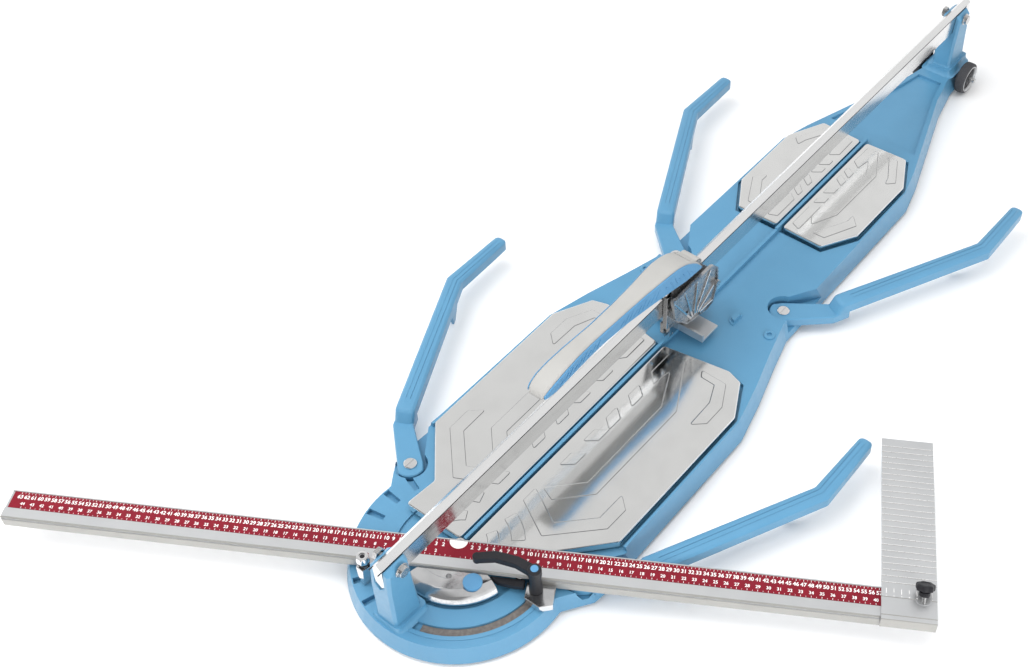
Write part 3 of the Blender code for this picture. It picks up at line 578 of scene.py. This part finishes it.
def make_stop():
    """The ribbed plate, a lower front with a worn edge, a scale band, and the leaning clamp knob."""
    x0, x1, low, high, step = 572.0, 645.0, 60.8, 65.5, -17.0
    field = high - 0.5
    hook = 44
    rib_pitch, rib_end, back = 10, 240, 250
    front = [(-51, hook), (-51, 61.6), (-50, 62.6), (-44.6, 63.0), (-43.6, 64), (step - 0.6, 64),
             (step, field)]
    ribs = []
    y = 4.9
    while y < rib_end:
        ribs += [(y - 0.7, field), (y - 0.2, high), (y + 0.6, high), (y + 1.1, field)]
        y += rib_pitch
    rear = [(back - 1, field), (back, high - 1.2), (back, low), (-47.6, low), (-47.6, hook)]
    bm = extrude(front + ribs + rear, x0, x1, "X")
    # painted highlight: the rib faces take a brighter copy of the aluminium
    for face in bm.faces:
        levels = [v.co.z for v in face.verts]
        on_rib = min(levels) > field - 0.1 and max(levels) > high - 0.3 and face.verts[0].co.y < back - 2
        face.material_index = int(on_rib)
    stop = new_piece("square_stop_finish", scaled(bm, SWIVEL), "aluminium", "square",
                     ("square_stop",), 25)
    stop.data.materials.append(MATS["rib_painted_highlight"])
    # painted shade on the faces turned to the front
    dull_fronts(stop)
    rounded(stop, 0.2, 2, 30)
    turns = [math.radians(angle) for angle in range(180, 361, 12)]
    tab = extrude([(627 + 10.5 * math.cos(turn), step + 8.5 * math.sin(turn)) for turn in turns], 63.9, field)
    rounded(new_piece("stop_tab", scaled(tab, SWIVEL), "aluminium", "square"), 0.4)
    marks = bmesh.new()
    print_low, print_high = field - 0.05, field + 0.15
    for i in range(7):
        bar(marks, 578 + 10 * i, 578.8 + 10 * i, -12.5 + 2.5 * (i % 2), -4.5, print_low, print_high)
    for i in range(7):
        bar(marks, 577.6 + 10 * i, 579.2 + 10 * i, step + 0.8, step + 1.8, print_low, print_high)
    new_piece("stop_scale", scaled(marks, SWIVEL), "scale_white", "square")

    def lobes(angle, radius):
        return radius * (0.93 + 0.07 * math.cos(7 * angle)) if radius > 9 else radius

    lean = Matrix.Translation(STOP_KNOB) @ Matrix.Rotation(math.radians(-38), 4, "X")
    shank = lathe("Z", (0, 0, 0), [(2.9, -1.4), (2.9, 9.2)], 24)
    grip = [(2.9, 9), (6.2, 9), (7.0, 9.8), (7.6, 12), (7.4, 15), (5.6, 16.3), (11.6, 17.6), (12.8, 18.2),
            (13.2, 19.6), (13.2, 24), (12.6, 25.6), (11, 26.4), (7, 26.4), (6.4, 25.8), (0.5, 25.8)]
    knob = lathe("Z", (0, 0, 0), grip, 84, True, lobes)
    for name, shape, mat, replaced in (("knob_shank", shank, "steel", ()),
                                       ("square_knob_finish", knob, "black_plastic", ("square_knob",))):
        bmesh.ops.transform(shape, verts=shape.verts, matrix=lean)
        new_piece(name, scaled(shape, SWIVEL), mat, "knob", replaced, 40)


# ---------------------------------------------------------------- base, arms and posts

def mitred(points, halves, shift=0.0):
    """Outline of a band along a centreline, with a half width at each point and a sideways shift."""
    left, right = [], []
    for i, point in enumerate(points):
        here = Vector(point)
        legs = [Vector(b) - Vector(a) for a, b in zip(points, points[1:])][max(i - 1, 0):i + 1]
        along = sum((leg.normalized() for leg in legs), Vector((0, 0))) / len(legs)
        across = Vector((-along.y, along.x)) / along.length_squared
        left.append(tuple(here + across * (shift + halves[i])))
        right.append(tuple(here + across * (shift - halves[i])))
    return right + left[::-1]


ARM_PATH = [(60, 48), (191, 310), (193, 432)]


def make_arm(place, word):
    """A cast arm: chamfered run and tip, a low root round the screw, two engraved lines and a fin below."""
    side = 1 if word == "right" else -1
    px, py = ARM_SCREWS[place]
    node = f"arm_{place}_{word}"

    def world(points):
        return [(side * (px + x), py + y) for x, y in points]

    def level(margin, z):
        lead = 0.6 * (z - 32)
        start = (ARM_PATH[0][0] + 0.447 * lead, ARM_PATH[0][1] + 0.894 * lead)
        outline = filleted(mitred([start] + ARM_PATH[1:], [15, 13.5, 11]), 9, 6)
        return [(x, y, z) for x, y in world(inset(outline, margin))]

    steps = [(1.2, 32), (0, 33.2), (0, 47.5), (0.4, 49), (3.2, 51.4), (4.4, 52)]
    bm = ring_loft(bmesh.new(), [level(margin, z) for margin, z in steps])
    arm = new_piece(node + "_finish", scaled(bm), "blue_paint", node, (node,), 30)
    aim = math.atan2(ARM_PATH[0][1], ARM_PATH[0][0])
    root = mitred([(0, 0), ARM_PATH[0], (72, 72)], [19, 15, 14.4])
    turns = [aim + math.radians(angle) for angle in range(238, 121, -9)]
    cap = [(22.5 * math.cos(turn), 22.5 * math.sin(turn)) for turn in turns]
    outline = filleted(root + cap[::-1], 2, 3)
    heel = ring_loft(bmesh.new(), [[(x, y, z) for x, y in world(inset(outline, margin))]
                                   for margin, z in ((1, 18), (0, 19), (0, 32.4), (1.4, 34))])
    carve(arm, scaled(heel), "UNION")
    lines = [(78, 78), ARM_PATH[1], (193, 420)]
    for halves, shift, depth in (([0.55, 0.55, 0.45], 5.5, 51.2), ([0.35, 0.35, 0.3], -1.5, 51.5)):
        carve(arm, scaled(extrude(world(mitred(lines, halves, shift)), depth, 60)))
    toe, top = mitred([(156, 262), (160, 270)], [2, 2]), mitred([(154, 258), (170, 290)], [2.5, 2.5])
    rings = [[(x, y, z) for x, y in world(points)] for points, z in ((toe, 8), (top, 34))]
    carve(arm, scaled(ring_loft(bmesh.new(), rings)), "UNION")
    drill(arm, "Z", (side * px, py, 0), SCREW_BORE, 0, 60)
    smooth_faces(arm.data, 30)


def post_flare(name, ends, floor, spread, front=1.0):
    """The concave skirt where a cast post runs into the deck."""
    low, high = ends
    half_width = 23
    middle, half = (low + high) / 2, (high - low) / 2
    rings = []
    for k in range(8):
        turn = math.radians(90 * k / 7)
        grow = spread * (1 - math.sin(turn)) + 0.4
        fore, aft, side = middle - half - grow * front, middle + half + grow * 0.2, half_width + grow
        ring = filleted([(side, fore), (side, aft), (-side, aft), (-side, fore)], 6 + grow, 7)
        rings.append([(x, y, floor - 0.5 + spread * 1.3 * (1 - math.cos(turn))) for x, y in ring])
    new_piece(name, scaled(ring_loft(bmesh.new(), rings)), "blue_paint", "base", (), 60)


def make_deck():
    """The casting with two fine grooves round the slot, the slot's liner, and bosses between the tables."""
    casting = finish_node("base_casting", 1.6, segments=3)
    for inner, outer, first, last in ((113, 114.2, -143, -34), (141.5, 142.5, -84, 22)):
        carve(casting, scaled(extrude(arc_band(inner, outer, first, last, 61), 33.3, 40)))
    smooth_faces(casting.data, 35)
    even_shading(casting, 50)
    liner = scaled(extrude(arc_band(123.1, 134.9, -72.5, 13.9, 45), 29.4, 30.4))
    new_piece("slot_liner_finish", liner, "slot_liner", "base", ("slot_liner",), 35)
    bm = bmesh.new()
    boss = [(9, 41.5), (9, 44.2), (7.6, 45.4), (4.2, 45.4), (4.2, 42.5), (0.5, 42.5)]
    for side in (1, -1):
        part = lathe("Z", (side * 121, 590, 0), boss, 32)
        mesh = bpy.data.meshes.new("part")
        part.to_mesh(mesh)
        part.free()
        bm.from_mesh(mesh)
        for radius, height, edge in ((14, 44, 64), (9.5, 49.5, 62.8)):
            turns = [math.radians(angle) for angle in range(90, 271, 12)]
            lug = [(side * (edge + radius * math.cos(turn)), 587 + radius * math.sin(turn)) for turn in turns]
            extrude(lug, 41.5, height, bm=bm)
    new_piece("deck_bosses", scaled(bm), "blue_paint", "base")


def make_rail():
    """The bar, and a black strip along each of its flanks: painted shade under the top edge."""
    finish_node("rail", 0.9, "rail_chrome", segments=3)
    corners = [(v.co.x / MM, v.co.z / MM) for v in NODES["rail"].data.vertices]
    flank = max(x for x, _ in corners)
    edge = max(round(z, 1) for x, z in corners if x > flank - 0.1)
    for word, side in (("left", -1), ("right", 1)):
        # painted shade: a black strip just below the top edge of each flank
        edge_shade = bmesh.new()
        bar(edge_shade, *sorted((side * (flank - 0.6), side * (flank + 0.12))), -150, 1410, edge - 2.3, edge - 0.2)
        new_piece(f"rail_edge_shade_{word}", scaled(edge_shade), "black_plastic", "base")


def make_base():
    make_deck()
    for node in ("front_rail_post", "rear_rail_post"):
        finish_node(node, 2.2, segments=3)
    post_flare("front_post_flare", (-149, -93), 34, 7, 0.3)
    post_flare("rear_post_flare", (1352, 1424), 42, 9)
    for place in ("front", "rear"):
        for word in ("left", "right"):
            make_arm(place, word)
            finish_node(f"arm_screw_{place}_{word}", 0.5)
        finish_node(f"{place}_post_bolt", 0.5)
        finish_node(f"{place}_post_nut", 0.5)
    make_rail()


# ---------------------------------------------------------------- handle and carriage

# Handle sections: (y, half width, underside, top)
HANDLE_START, HANDLE_END = 172, 542.5
HANDLE = [(HANDLE_START, 11.5, 201, 206), (174, 13, 199.8, 209.5), (179, 14.5, 199, 214),
          (195, 15.5, 198, 220), (220, 14.8, 198, 223.6), (250, 13.5, 198, 225), (280, 12.5, 197.8, 224),
          (310, 12, 197, 222.3),
          (360, 13, 193, 221), (410, 15, 186.5, 221), (440, 17.3, 183.5, 221), (462, 18.5, 180.5, 220.2),
          (480, 18.5, 176, 217.3), (495, 18.5, 172.5, 212.3), (505, 18.5, 171, 207.5),
          (515, 18.5, 170, 201.3), (525, 18.5, 169.2, 193.7), (533, 18.5, 168.6, 186),
          (539, 18.5, 168.2, 178.6), (HANDLE_END, 18, 168.5, 173)]
PIN = (515, 179)
TOP_ROLLERS = [(497, 175.1), (533, 175.1)]
LOW_ROLLERS = [(497, 110.9), (533, 110.9)]


def handle_at(y):
    """Half width, underside and top at a place along the handle."""
    stations = [row[0] for row in HANDLE]
    return [float(np.interp(y, stations, [row[k] for row in HANDLE])) for k in (1, 2, 3)]


def rounded_box(half, low, high, corner, count=5):
    corner = min(corner, 0.49 * (high - low), 0.49 * half)
    ring = []
    for centre, start in (((half - corner, high - corner), 0), ((corner - half, high - corner), 90),
                          ((corner - half, low + corner), 180), ((half - corner, low + corner), 270)):
        ring += arc(centre, corner, [start + 90 * k / (count - 1) for k in range(count)])
    return ring


def make_handle():
    """One flowing body: a hollow grip that opens into a fork, with inlaid side panels."""
    rings = []
    for i in range(76):
        y = HANDLE_START + (HANDLE_END - HANDLE_START) * i / 75
        half, low, high = handle_at(y)
        rings.append([(x, y, z) for x, z in rounded_box(half, low, high, 4.2)])
    grip = new_piece("handle_body", scaled(ring_loft(bmesh.new(), rings)), "grip_grey", "handle",
                     ("handle_grip",), 40)
    hollow = [(470, 150), (470, 196), (476, 209), (490, 210.4), (502, 205.2), (514, 198.6), (514, 240),
              (570, 240), (570, 150)]
    carve(grip, scaled(extrude(hollow, -15.2, 15.2, "X")))
    drill(grip, "X", (0, *PIN), PIN_BORE, -40, 40)
    smooth_faces(grip.data, 40)
    for word, side in (("left", -1), ("right", 1)):
        make_handle_side(word, side)


def make_handle_side(word, side):
    """A blue panel that follows the grip, and its slanted ribs."""
    start, stop, bevel = 175, 540.5, 0.9
    rings = []
    for i in range(70):
        y = start + (stop - start) * i / 69
        half, low, high = handle_at(y)
        low, high = low + 2.6, high - 3.0
        section = [(half + 0.3, low), (half + 1.5, low), (half + 2.3, low + bevel),
                   (half + 2.3, high - bevel), (half + 1.5, high), (half + 0.3, high)]
        rings.append([(side * x, y, z) for x, z in section])
    node = f"handle_panel_{word}"
    panel = scaled(ring_loft(bmesh.new(), rings))
    new_piece(node + "_inlay", panel, "blue_plastic", "handle", (node,), 35)
    ribs = bmesh.new()
    for first, last, count, lean in ((205, 290, 9, 9), (345, 425, 9, 9), (455, 520, 7, -8)):
        for i in range(count):
            y = first + (last - first) * i / (count - 1)
            half, low, high = handle_at(y)
            foot, tip = low + (high - low) * 0.3, low + (high - low) * (0.55 + 0.15 * (i % 3) / 2)
            rib = [(y - 0.8, foot), (y + 0.8, foot), (y + lean + 0.8, tip), (y + lean - 0.8, tip)]
            extrude(rib, *sorted((side * (half + 1.9), side * (half + 3.1))), "X", ribs)
    new_piece(f"grip_ribs_{word}", scaled(ribs), "blue_plastic", "handle")


def flank_slab(outline, side, inner, outer):
    """A plate parallel to the rail, on one side of it."""
    return scaled(extrude(outline, *sorted((side * inner, side * outer)), "X"))


def make_carriage():
    """Cheeks with sunken flanks and radial ribs, a hood over the rear roller, and a rail wiper in front."""
    plate = [(466, 94), (488, 88), (512, 71), (548, 71), (572, 80), (581, 104), (577, 130), (566, 150),
             (553, 163), (546, 170), (544.6, 179), (540, 185), (533, 186.9), (522, 190), (510, 192.5),
             (498, 192), (486, 186), (477, 172), (471, 150), (463, 120)]
    block = [(470, 116), (496, 88), (512, 84), (552, 74), (566, 78), (578, 112), (577, 137), (464, 137)]
    wing = [(466, 130), (578, 130), (574, 150), (560, 163), (470, 163), (457, 168)]
    rim = [(457, 168), (465, 122), (496, 87), (552, 73.5), (567, 78), (579, 112), (576, 148), (561, 164),
           (470, 164)]
    spokes = [((508, 90), (461, 160)), ((512, 91), (489, 160)), ((517, 92), (521, 160)),
              ((522, 92), (556, 158)), ((528, 88), (574, 122)), ((532, 84), (566, 84))]
    axle, screw = (530, 78), (572, 118)
    bridge = scaled(extrude([(500, 86.5), (574, 86.5), (574, 94), (500, 94)], -12.6, 12.6, "X"))
    cheeks = new_piece("carriage_frame", bridge, "cast_satin", "carriage",
                       ("carriage_body",), 30)
    for word, side in (("left", -1), ("right", 1)):
        for outline, radius, inner, outer in ((plate, 5, 10.6, 14.6), (block, 4, 13.6, 25.4),
                                              (wing, 4, 21.4, 25.4), (rim, 5, 23.5, 27.4)):
            carve(cheeks, flank_slab(filleted(outline, radius), side, inner, outer), "UNION")
        carve(cheeks, flank_slab(filleted(inset(rim, 3), 3), side, 25.2, 40))
        ribs = bmesh.new()
        for foot, tip in spokes:
            extrude(mitred([foot, tip], [2.2, 1.2]), *sorted((side * 25.1, side * 27.6)), "X", ribs)
        rounded(new_piece(f"carriage_ribs_{word}", scaled(ribs), "chrome", "carriage"), 0.5)
    for place in TOP_ROLLERS + LOW_ROLLERS + [PIN]:
        drill(cheeks, "X", (0, *place), PIN_BORE, -40, 40)
    for place, first in ((axle, -40), (screw, 22)):
        drill(cheeks, "X", (0, *place), 3.45, first, 40)
    rounded(cheeks, 0.6, 2, 35)
    centre = TOP_ROLLERS[1]
    hood = arc(centre, 14.3, range(-12, 97, 9)) + [(517.5, 198.6), (517.5, 196.8)]
    hood += arc(centre, 12.7, range(96, -13, -9))
    hood = scaled(extrude(hood, -14.9, 14.9, "X"))
    rounded(new_piece("roller_hood", hood, "grip_grey", "carriage"), 0.4, 2)
    wiper = bmesh.new()
    for side in (-1, 1):
        bar(wiper, *sorted((side * 8.7, side * 16)), 457.5, 462, 100, 166)
    rounded(new_piece("rail_wiper", scaled(wiper), "cast_polished", "carriage"), 0.5)


# ---------------------------------------------------------------- swivel hub

def make_sector():
    """The polished quarter disc with a rounded skirt, a fine step and three holes."""
    front, base, field = -47.4, 31.6, 55.5
    rings = []
    for radius, z in ((91.2, base), (92, 32.4), (92, 41.6), (91, 43.6), (89.2, 47.2), (87.8, 49.4),
                      (85.6, 51.2), (80.5, 54), (78, 55.1), (76.4, field)):
        rim = arc((0, 0), radius, np.linspace(-135, -45, 37))
        rings.append([(x, y, z) for x, y in [(front, front)] + rim + [(-front, front)]])
    disc = scaled(ring_loft(bmesh.new(), rings), SWIVEL)
    plate = new_piece("sector_plate_finish", disc, "cast_polished", "ruler",
                      ("sector_plate",), 24)
    neck = [(0, 0)] + arc((0, 0), 60, range(-134, -45, 8))
    hub = lathe("Z", (0, 0, 0), [(7, base), (7, 53.6)], 32)
    for shape in (extrude(neck, base, 53.6), hub):
        carve(plate, scaled(shape, SWIVEL), "UNION")
    for x, y, radius, floor in ((0, 0, PIN_BORE, 0), (-3, -57, 4, 44), (*BUTTON, 9.45, 35)):
        drill(plate, "Z", (x, y, 0), radius, floor, 70, 32, SWIVEL)
    carve(plate, scaled(extrude(arc_band(61, 62.2, -134, -46, 41), field - 0.4, 60), SWIVEL))
    rounded(plate, 0.35, 2, 24)


def make_hub_controls():
    """The button in the sector plate, the guard under the clamp lever, and the lever's cap."""
    profile = [(9, 39), (9, 58.6), (12.6, 58.7), (13.3, 59.4), (13.3, 63.2), (12.6, 63.9), (0.5, 63.95)]
    button = scaled(lathe("Z", (*BUTTON, 0), profile, 40), SWIVEL)
    new_piece("release_button_finish", button, "blue_plastic", BODY_OF["release_button"],
              ("release_button",), 40)
    rings = []
    for k, z in ((1.5, 41.5), (0, 43), (0, 50), (1.6, 52)):
        outline = [(51 + k, -47.4), (99.5, -47.4), (99, -57.5 + k), (84, -58 + k), (62 + k, -55 + k)]
        rings.append([(x, y, z) for x, y in outline])
    guard = scaled(ring_loft(bmesh.new(), rings), SWIVEL)
    rounded(new_piece("lever_guard_finish", guard, "black_plastic", BODY_OF["lever_guard"],
                      ("lever_guard",), 30), 0.5)
    cap = lathe("Z", (*LEVER, 0), [(5.4, 97.9), (5.4, 98.7), (4.9, 99.2), (0.4, 99.3)], 32)
    new_piece("lever_cap", scaled(cap, SWIVEL), "blue_plastic", "lever", (), 40)


def make_index():
    """A tapering block with a pull knob: lobed chrome head, dished top, black collar."""
    rings = []
    for z, near, nose, flank in ((34.6, -123, -74.2, -71), (46, -124.4, -74, -70), (48.5, -126.6, -72.6, -68),
                                 (62.6, -128.6, -71, -64.5), (64, -127.8, -70.2, -64)):
        outline = [(-107.6, -47.3), (-107.4, -60), (-117.4, nose), (near, flank), (near, -47.3)]
        rings.append([(x, y, z) for x, y in outline])
    block = new_piece("index_block", scaled(ring_loft(bmesh.new(), rings), SWIVEL), "cast_polished",
                      BODY_OF["index_bracket"], ("index_bracket",), 24)
    drill(block, "Z", (*PLUNGER, 0), PIN_BORE, 30, 70, 24, SWIVEL)
    rounded(block, 0.5, 2, 24)

    def lobes(angle, radius):
        return radius * (0.94 + 0.06 * math.cos(8 * angle)) if radius > 8.4 else radius

    body, slot = BODY_OF["index_plunger"], SLOT_OF["index_plunger"]
    knob = [(3, 34.6), (4, 36.6), (4, 74), (8.4, 74.2), (9.4, 75), (9.8, 76.4), (9.8, 83), (9.2, 84.8),
            (8, 86.2), (5.6, 86.8), (4.4, 86.4), (4, 84.8), (0.4, 84.4)]
    plunger = scaled(lathe("Z", (*PLUNGER, 0), knob, 64, True, lobes), SWIVEL)
    new_piece("index_knob", plunger, "chrome", body, ("index_plunger",), 32)
    for name, low, high, radius in (("index_collar", 70.8, 73.8, 8.6), ("index_recess", 84.5, 85, 3.4)):
        profile = [(radius - 0.4, low), (radius, low + 0.2), (radius, high - 0.2), (radius - 0.4, high)]
        ring = scaled(lathe("Z", (*PLUNGER, 0), profile, 32), SWIVEL)
        new_piece(name, ring, "black_plastic", body, (), 40)


def make_wheels():
    """Tyres with rounded shoulders and a fine tread, a pale rim ring, and a dished hub on each side."""
    face = WHEEL_FACE
    tyre = [(5.5, face), (13, face), (19, 47), (23.6, 47), (24.6, face), (26.8, face), (28.6, 45.8),
            (29.4, 48), (29.4, 58.4), (28.6, 61), (26.6, 62.4), (24.4, 62.4), (23.2, 61.2), (22.4, 57.6),
            (13, 57.2), (12, 61.6), (5.5, 61.9)]
    ring = [(22.9, 58.2), (24.9, 61.9), (24.6, 62.9), (23.4, 62.9), (21.6, 59.6), (21.6, 58.2)]
    widest = 62.9

    def tread(angle, radius):
        return radius * (1 + 0.006 * math.cos(48 * angle)) if radius > 29 else radius

    for word, side in (("left", -1), ("right", 1)):
        node = f"transport_wheel_{word}"
        shift = min(abs(v.co.x) / MM for v in NODES[node].data.vertices) - face
        profile = [(radius, side * (x + shift)) for radius, x in tyre]
        wheel = lathe("X", (0, *WHEEL_AXLE), profile, 144, False, tread)
        new_piece(node + "_tyre", scaled(wheel), "rubber", BODY_OF[node], (node,), 30)
        profile = [(radius, side * min(x + shift, widest)) for radius, x in ring]
        rim = lathe("X", (0, *WHEEL_AXLE), profile, 64, False)
        new_piece(f"wheel_ring_{word}", scaled(rim), "aluminium", BODY_OF[node], (), 30)


def make_springs():
    """A steel copy of each spring under a table, riding on the spring's own body; the real spring shortens as
    its table sinks, which is not made here.
    """
    for place in ("front", "rear"):
        for word in ("left", "right"):
            node = f"table_spring_{place}_{word}"
            coil = new_piece(node + "_coil", clean_copy(node, False), "steel", BODY_OF[node],
                             (node,), 60)
            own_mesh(coil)


def make_tables():
    for word, side in (("left", -1), ("right", 1)):
        pressed_table(f"front_plate_{word}", FRONT_OUTLINE, FRONT_PADS, f"table_front_{word}", side)
        pressed_table(f"rear_plate_{word}", REAR_OUTLINE, REAR_PADS, f"table_rear_{word}", side)


# CAD parts that only need rounded edges: the edge's width, and a material where it isn't the CAD's own
EDGED = {"ruler_extrusion": (0.4, None), "ruler_bar_left": (0.5, None), "ruler_bar_right": (0.5, None),
         "clamp_block": (1.2, "cast_polished"), "clamp_lever": (2.0, None),
         "wheel_holder": (0.8, "cast_polished"), "breaker_foot": (0.8, "aluminium")}


def make_edged_parts():
    for node, (width, mat) in EDGED.items():
        skin = finish_node(node, width, mat)
        # the ruler's front faces take painted shade
        if node.startswith("ruler_"):
            dull_fronts(skin)


def paint_carried_parts():
    """The CAD parts that stay visible as they are."""
    for node, obj in NODES.items():
        for slot in obj.material_slots:
            slot.material = MATS[SLOT_OF[node]]


make_base()
make_handle()
make_carriage()
make_sector()
make_hub_controls()
make_index()
make_wheels()
make_springs()
make_tables()
make_print()
make_stop()
make_edged_parts()
paint_carried_parts()


# ---------------------------------------------------------------- stage

def make_stage():
    """A plain pale floor and five soft lights."""
    bm = bmesh.new()
    bmesh.ops.create_grid(bm, x_segments=2, y_segments=2, size=9)
    mesh = bpy.data.meshes.new("floor")
    bm.to_mesh(mesh)
    bm.free()
    mesh.materials.append(MATS["studio_floor"])
    floor = bpy.data.objects.new("floor", mesh)
    floor.location = (0, 0.5, -0.0005)
    bpy.context.scene.collection.objects.link(floor)

    def area(name, place, target, size, power):
        light = bpy.data.lights.new(name, "AREA")
        light.shape = "RECTANGLE"
        light.size, light.size_y = size
        light.energy = power
        obj = bpy.data.objects.new(name, light)
        obj.location = place
        obj.rotation_euler = (Vector(target) - Vector(place)).to_track_quat("-Z", "Y").to_euler()
        obj.visible_glossy = False
        bpy.context.scene.collection.objects.link(obj)

    area("key", (-1.6, -0.1, 2.6), (0, 0.35, 0), (2.2, 2.4), 56)
    area("fill", (2.2, 2.2, 2.2), (0, 0.6, 0), (2.4, 1.6), 9)
    area("front", (-0.5, -1.4, 1.4), (0, -0.1, 0), (1.2, 0.8), 13)
    area("side", (2.3, -0.6, 0.8), (0.2, 0.5, 0.05), (1.4, 0.8), 34)
    area("top", (0.2, 0.25, 3.1), (0, 0.3, 0), (2.4, 2.2), 36)

    make_world()


def make_world():
    """An even white studio; mirror surfaces also see a grey card behind the operator."""
    world = bpy.data.worlds.new("studio")
    world.use_nodes = True
    tree = world.node_tree

    def remap(socket, low, high, start, stop):
        made = add_node(tree, "ShaderNodeMapRange", interpolation_type="SMOOTHSTEP")
        for key, value in (("From Min", low), ("From Max", high), ("To Min", start), ("To Max", stop)):
            made.inputs[key].default_value = value
        tree.links.new(socket, made.inputs["Value"])
        return made.outputs["Result"]

    def blend(factor, a, b):
        made = add_node(tree, "ShaderNodeMix", data_type="FLOAT")
        for key, value in (("Factor", factor), ("A", a), ("B", b)):
            if isinstance(value, float):
                made.inputs[key].default_value = value
            else:
                tree.links.new(value, made.inputs[key])
        return made.outputs["Result"]

    split = add_node(tree, "ShaderNodeSeparateXYZ")
    tree.links.new(add_node(tree, "ShaderNodeTexCoord").outputs["Generated"], split.inputs["Vector"])
    sky = remap(split.outputs["Z"], 0.25, 0.9, 0.95, 0.72)
    front = remap(split.outputs["Y"], -0.35, -0.6, 0.0, 1.0)
    card = blend(front, sky, 0.28)
    glossy = blend(remap(split.outputs["X"], 0.55, 0.75, 0.0, 1.0), card, sky)
    glossy_ray = add_node(tree, "ShaderNodeLightPath").outputs["Is Glossy Ray"]
    strength = blend(glossy_ray, 0.56, glossy)
    tree.links.new(strength, tree.nodes["Background"].inputs["Strength"])
    tree.nodes["Background"].inputs["Color"].default_value = (1, 1, 1, 1)
    bpy.context.scene.world = world


def make_camera():
    """The camera's axes and place, in metres, fitted to the ruler's scale and the base's edges."""
    camera = bpy.data.cameras.new("camera")
    obj = bpy.data.objects.new("camera", camera)
    right = (0.788661, 0.614743, -0.010307)
    up = (-0.447077, 0.584908, 0.676760)
    back = (0.422062, -0.529126, 0.736131)
    matrix = Matrix((right, up, back)).transposed().to_4x4()
    matrix.translation = (0.8306, -0.72429, 1.65175)
    obj.matrix_world = matrix
    camera.sensor_width = 36
    camera.lens = 48.658
    camera.shift_x = -0.08406
    camera.clip_start = 0.05
    bpy.context.scene.collection.objects.link(obj)
    bpy.context.scene.camera = obj
    bpy.context.scene.view_settings.view_transform = "Standard"


make_stage()
make_camera()
bpy.context.view_layer.update()
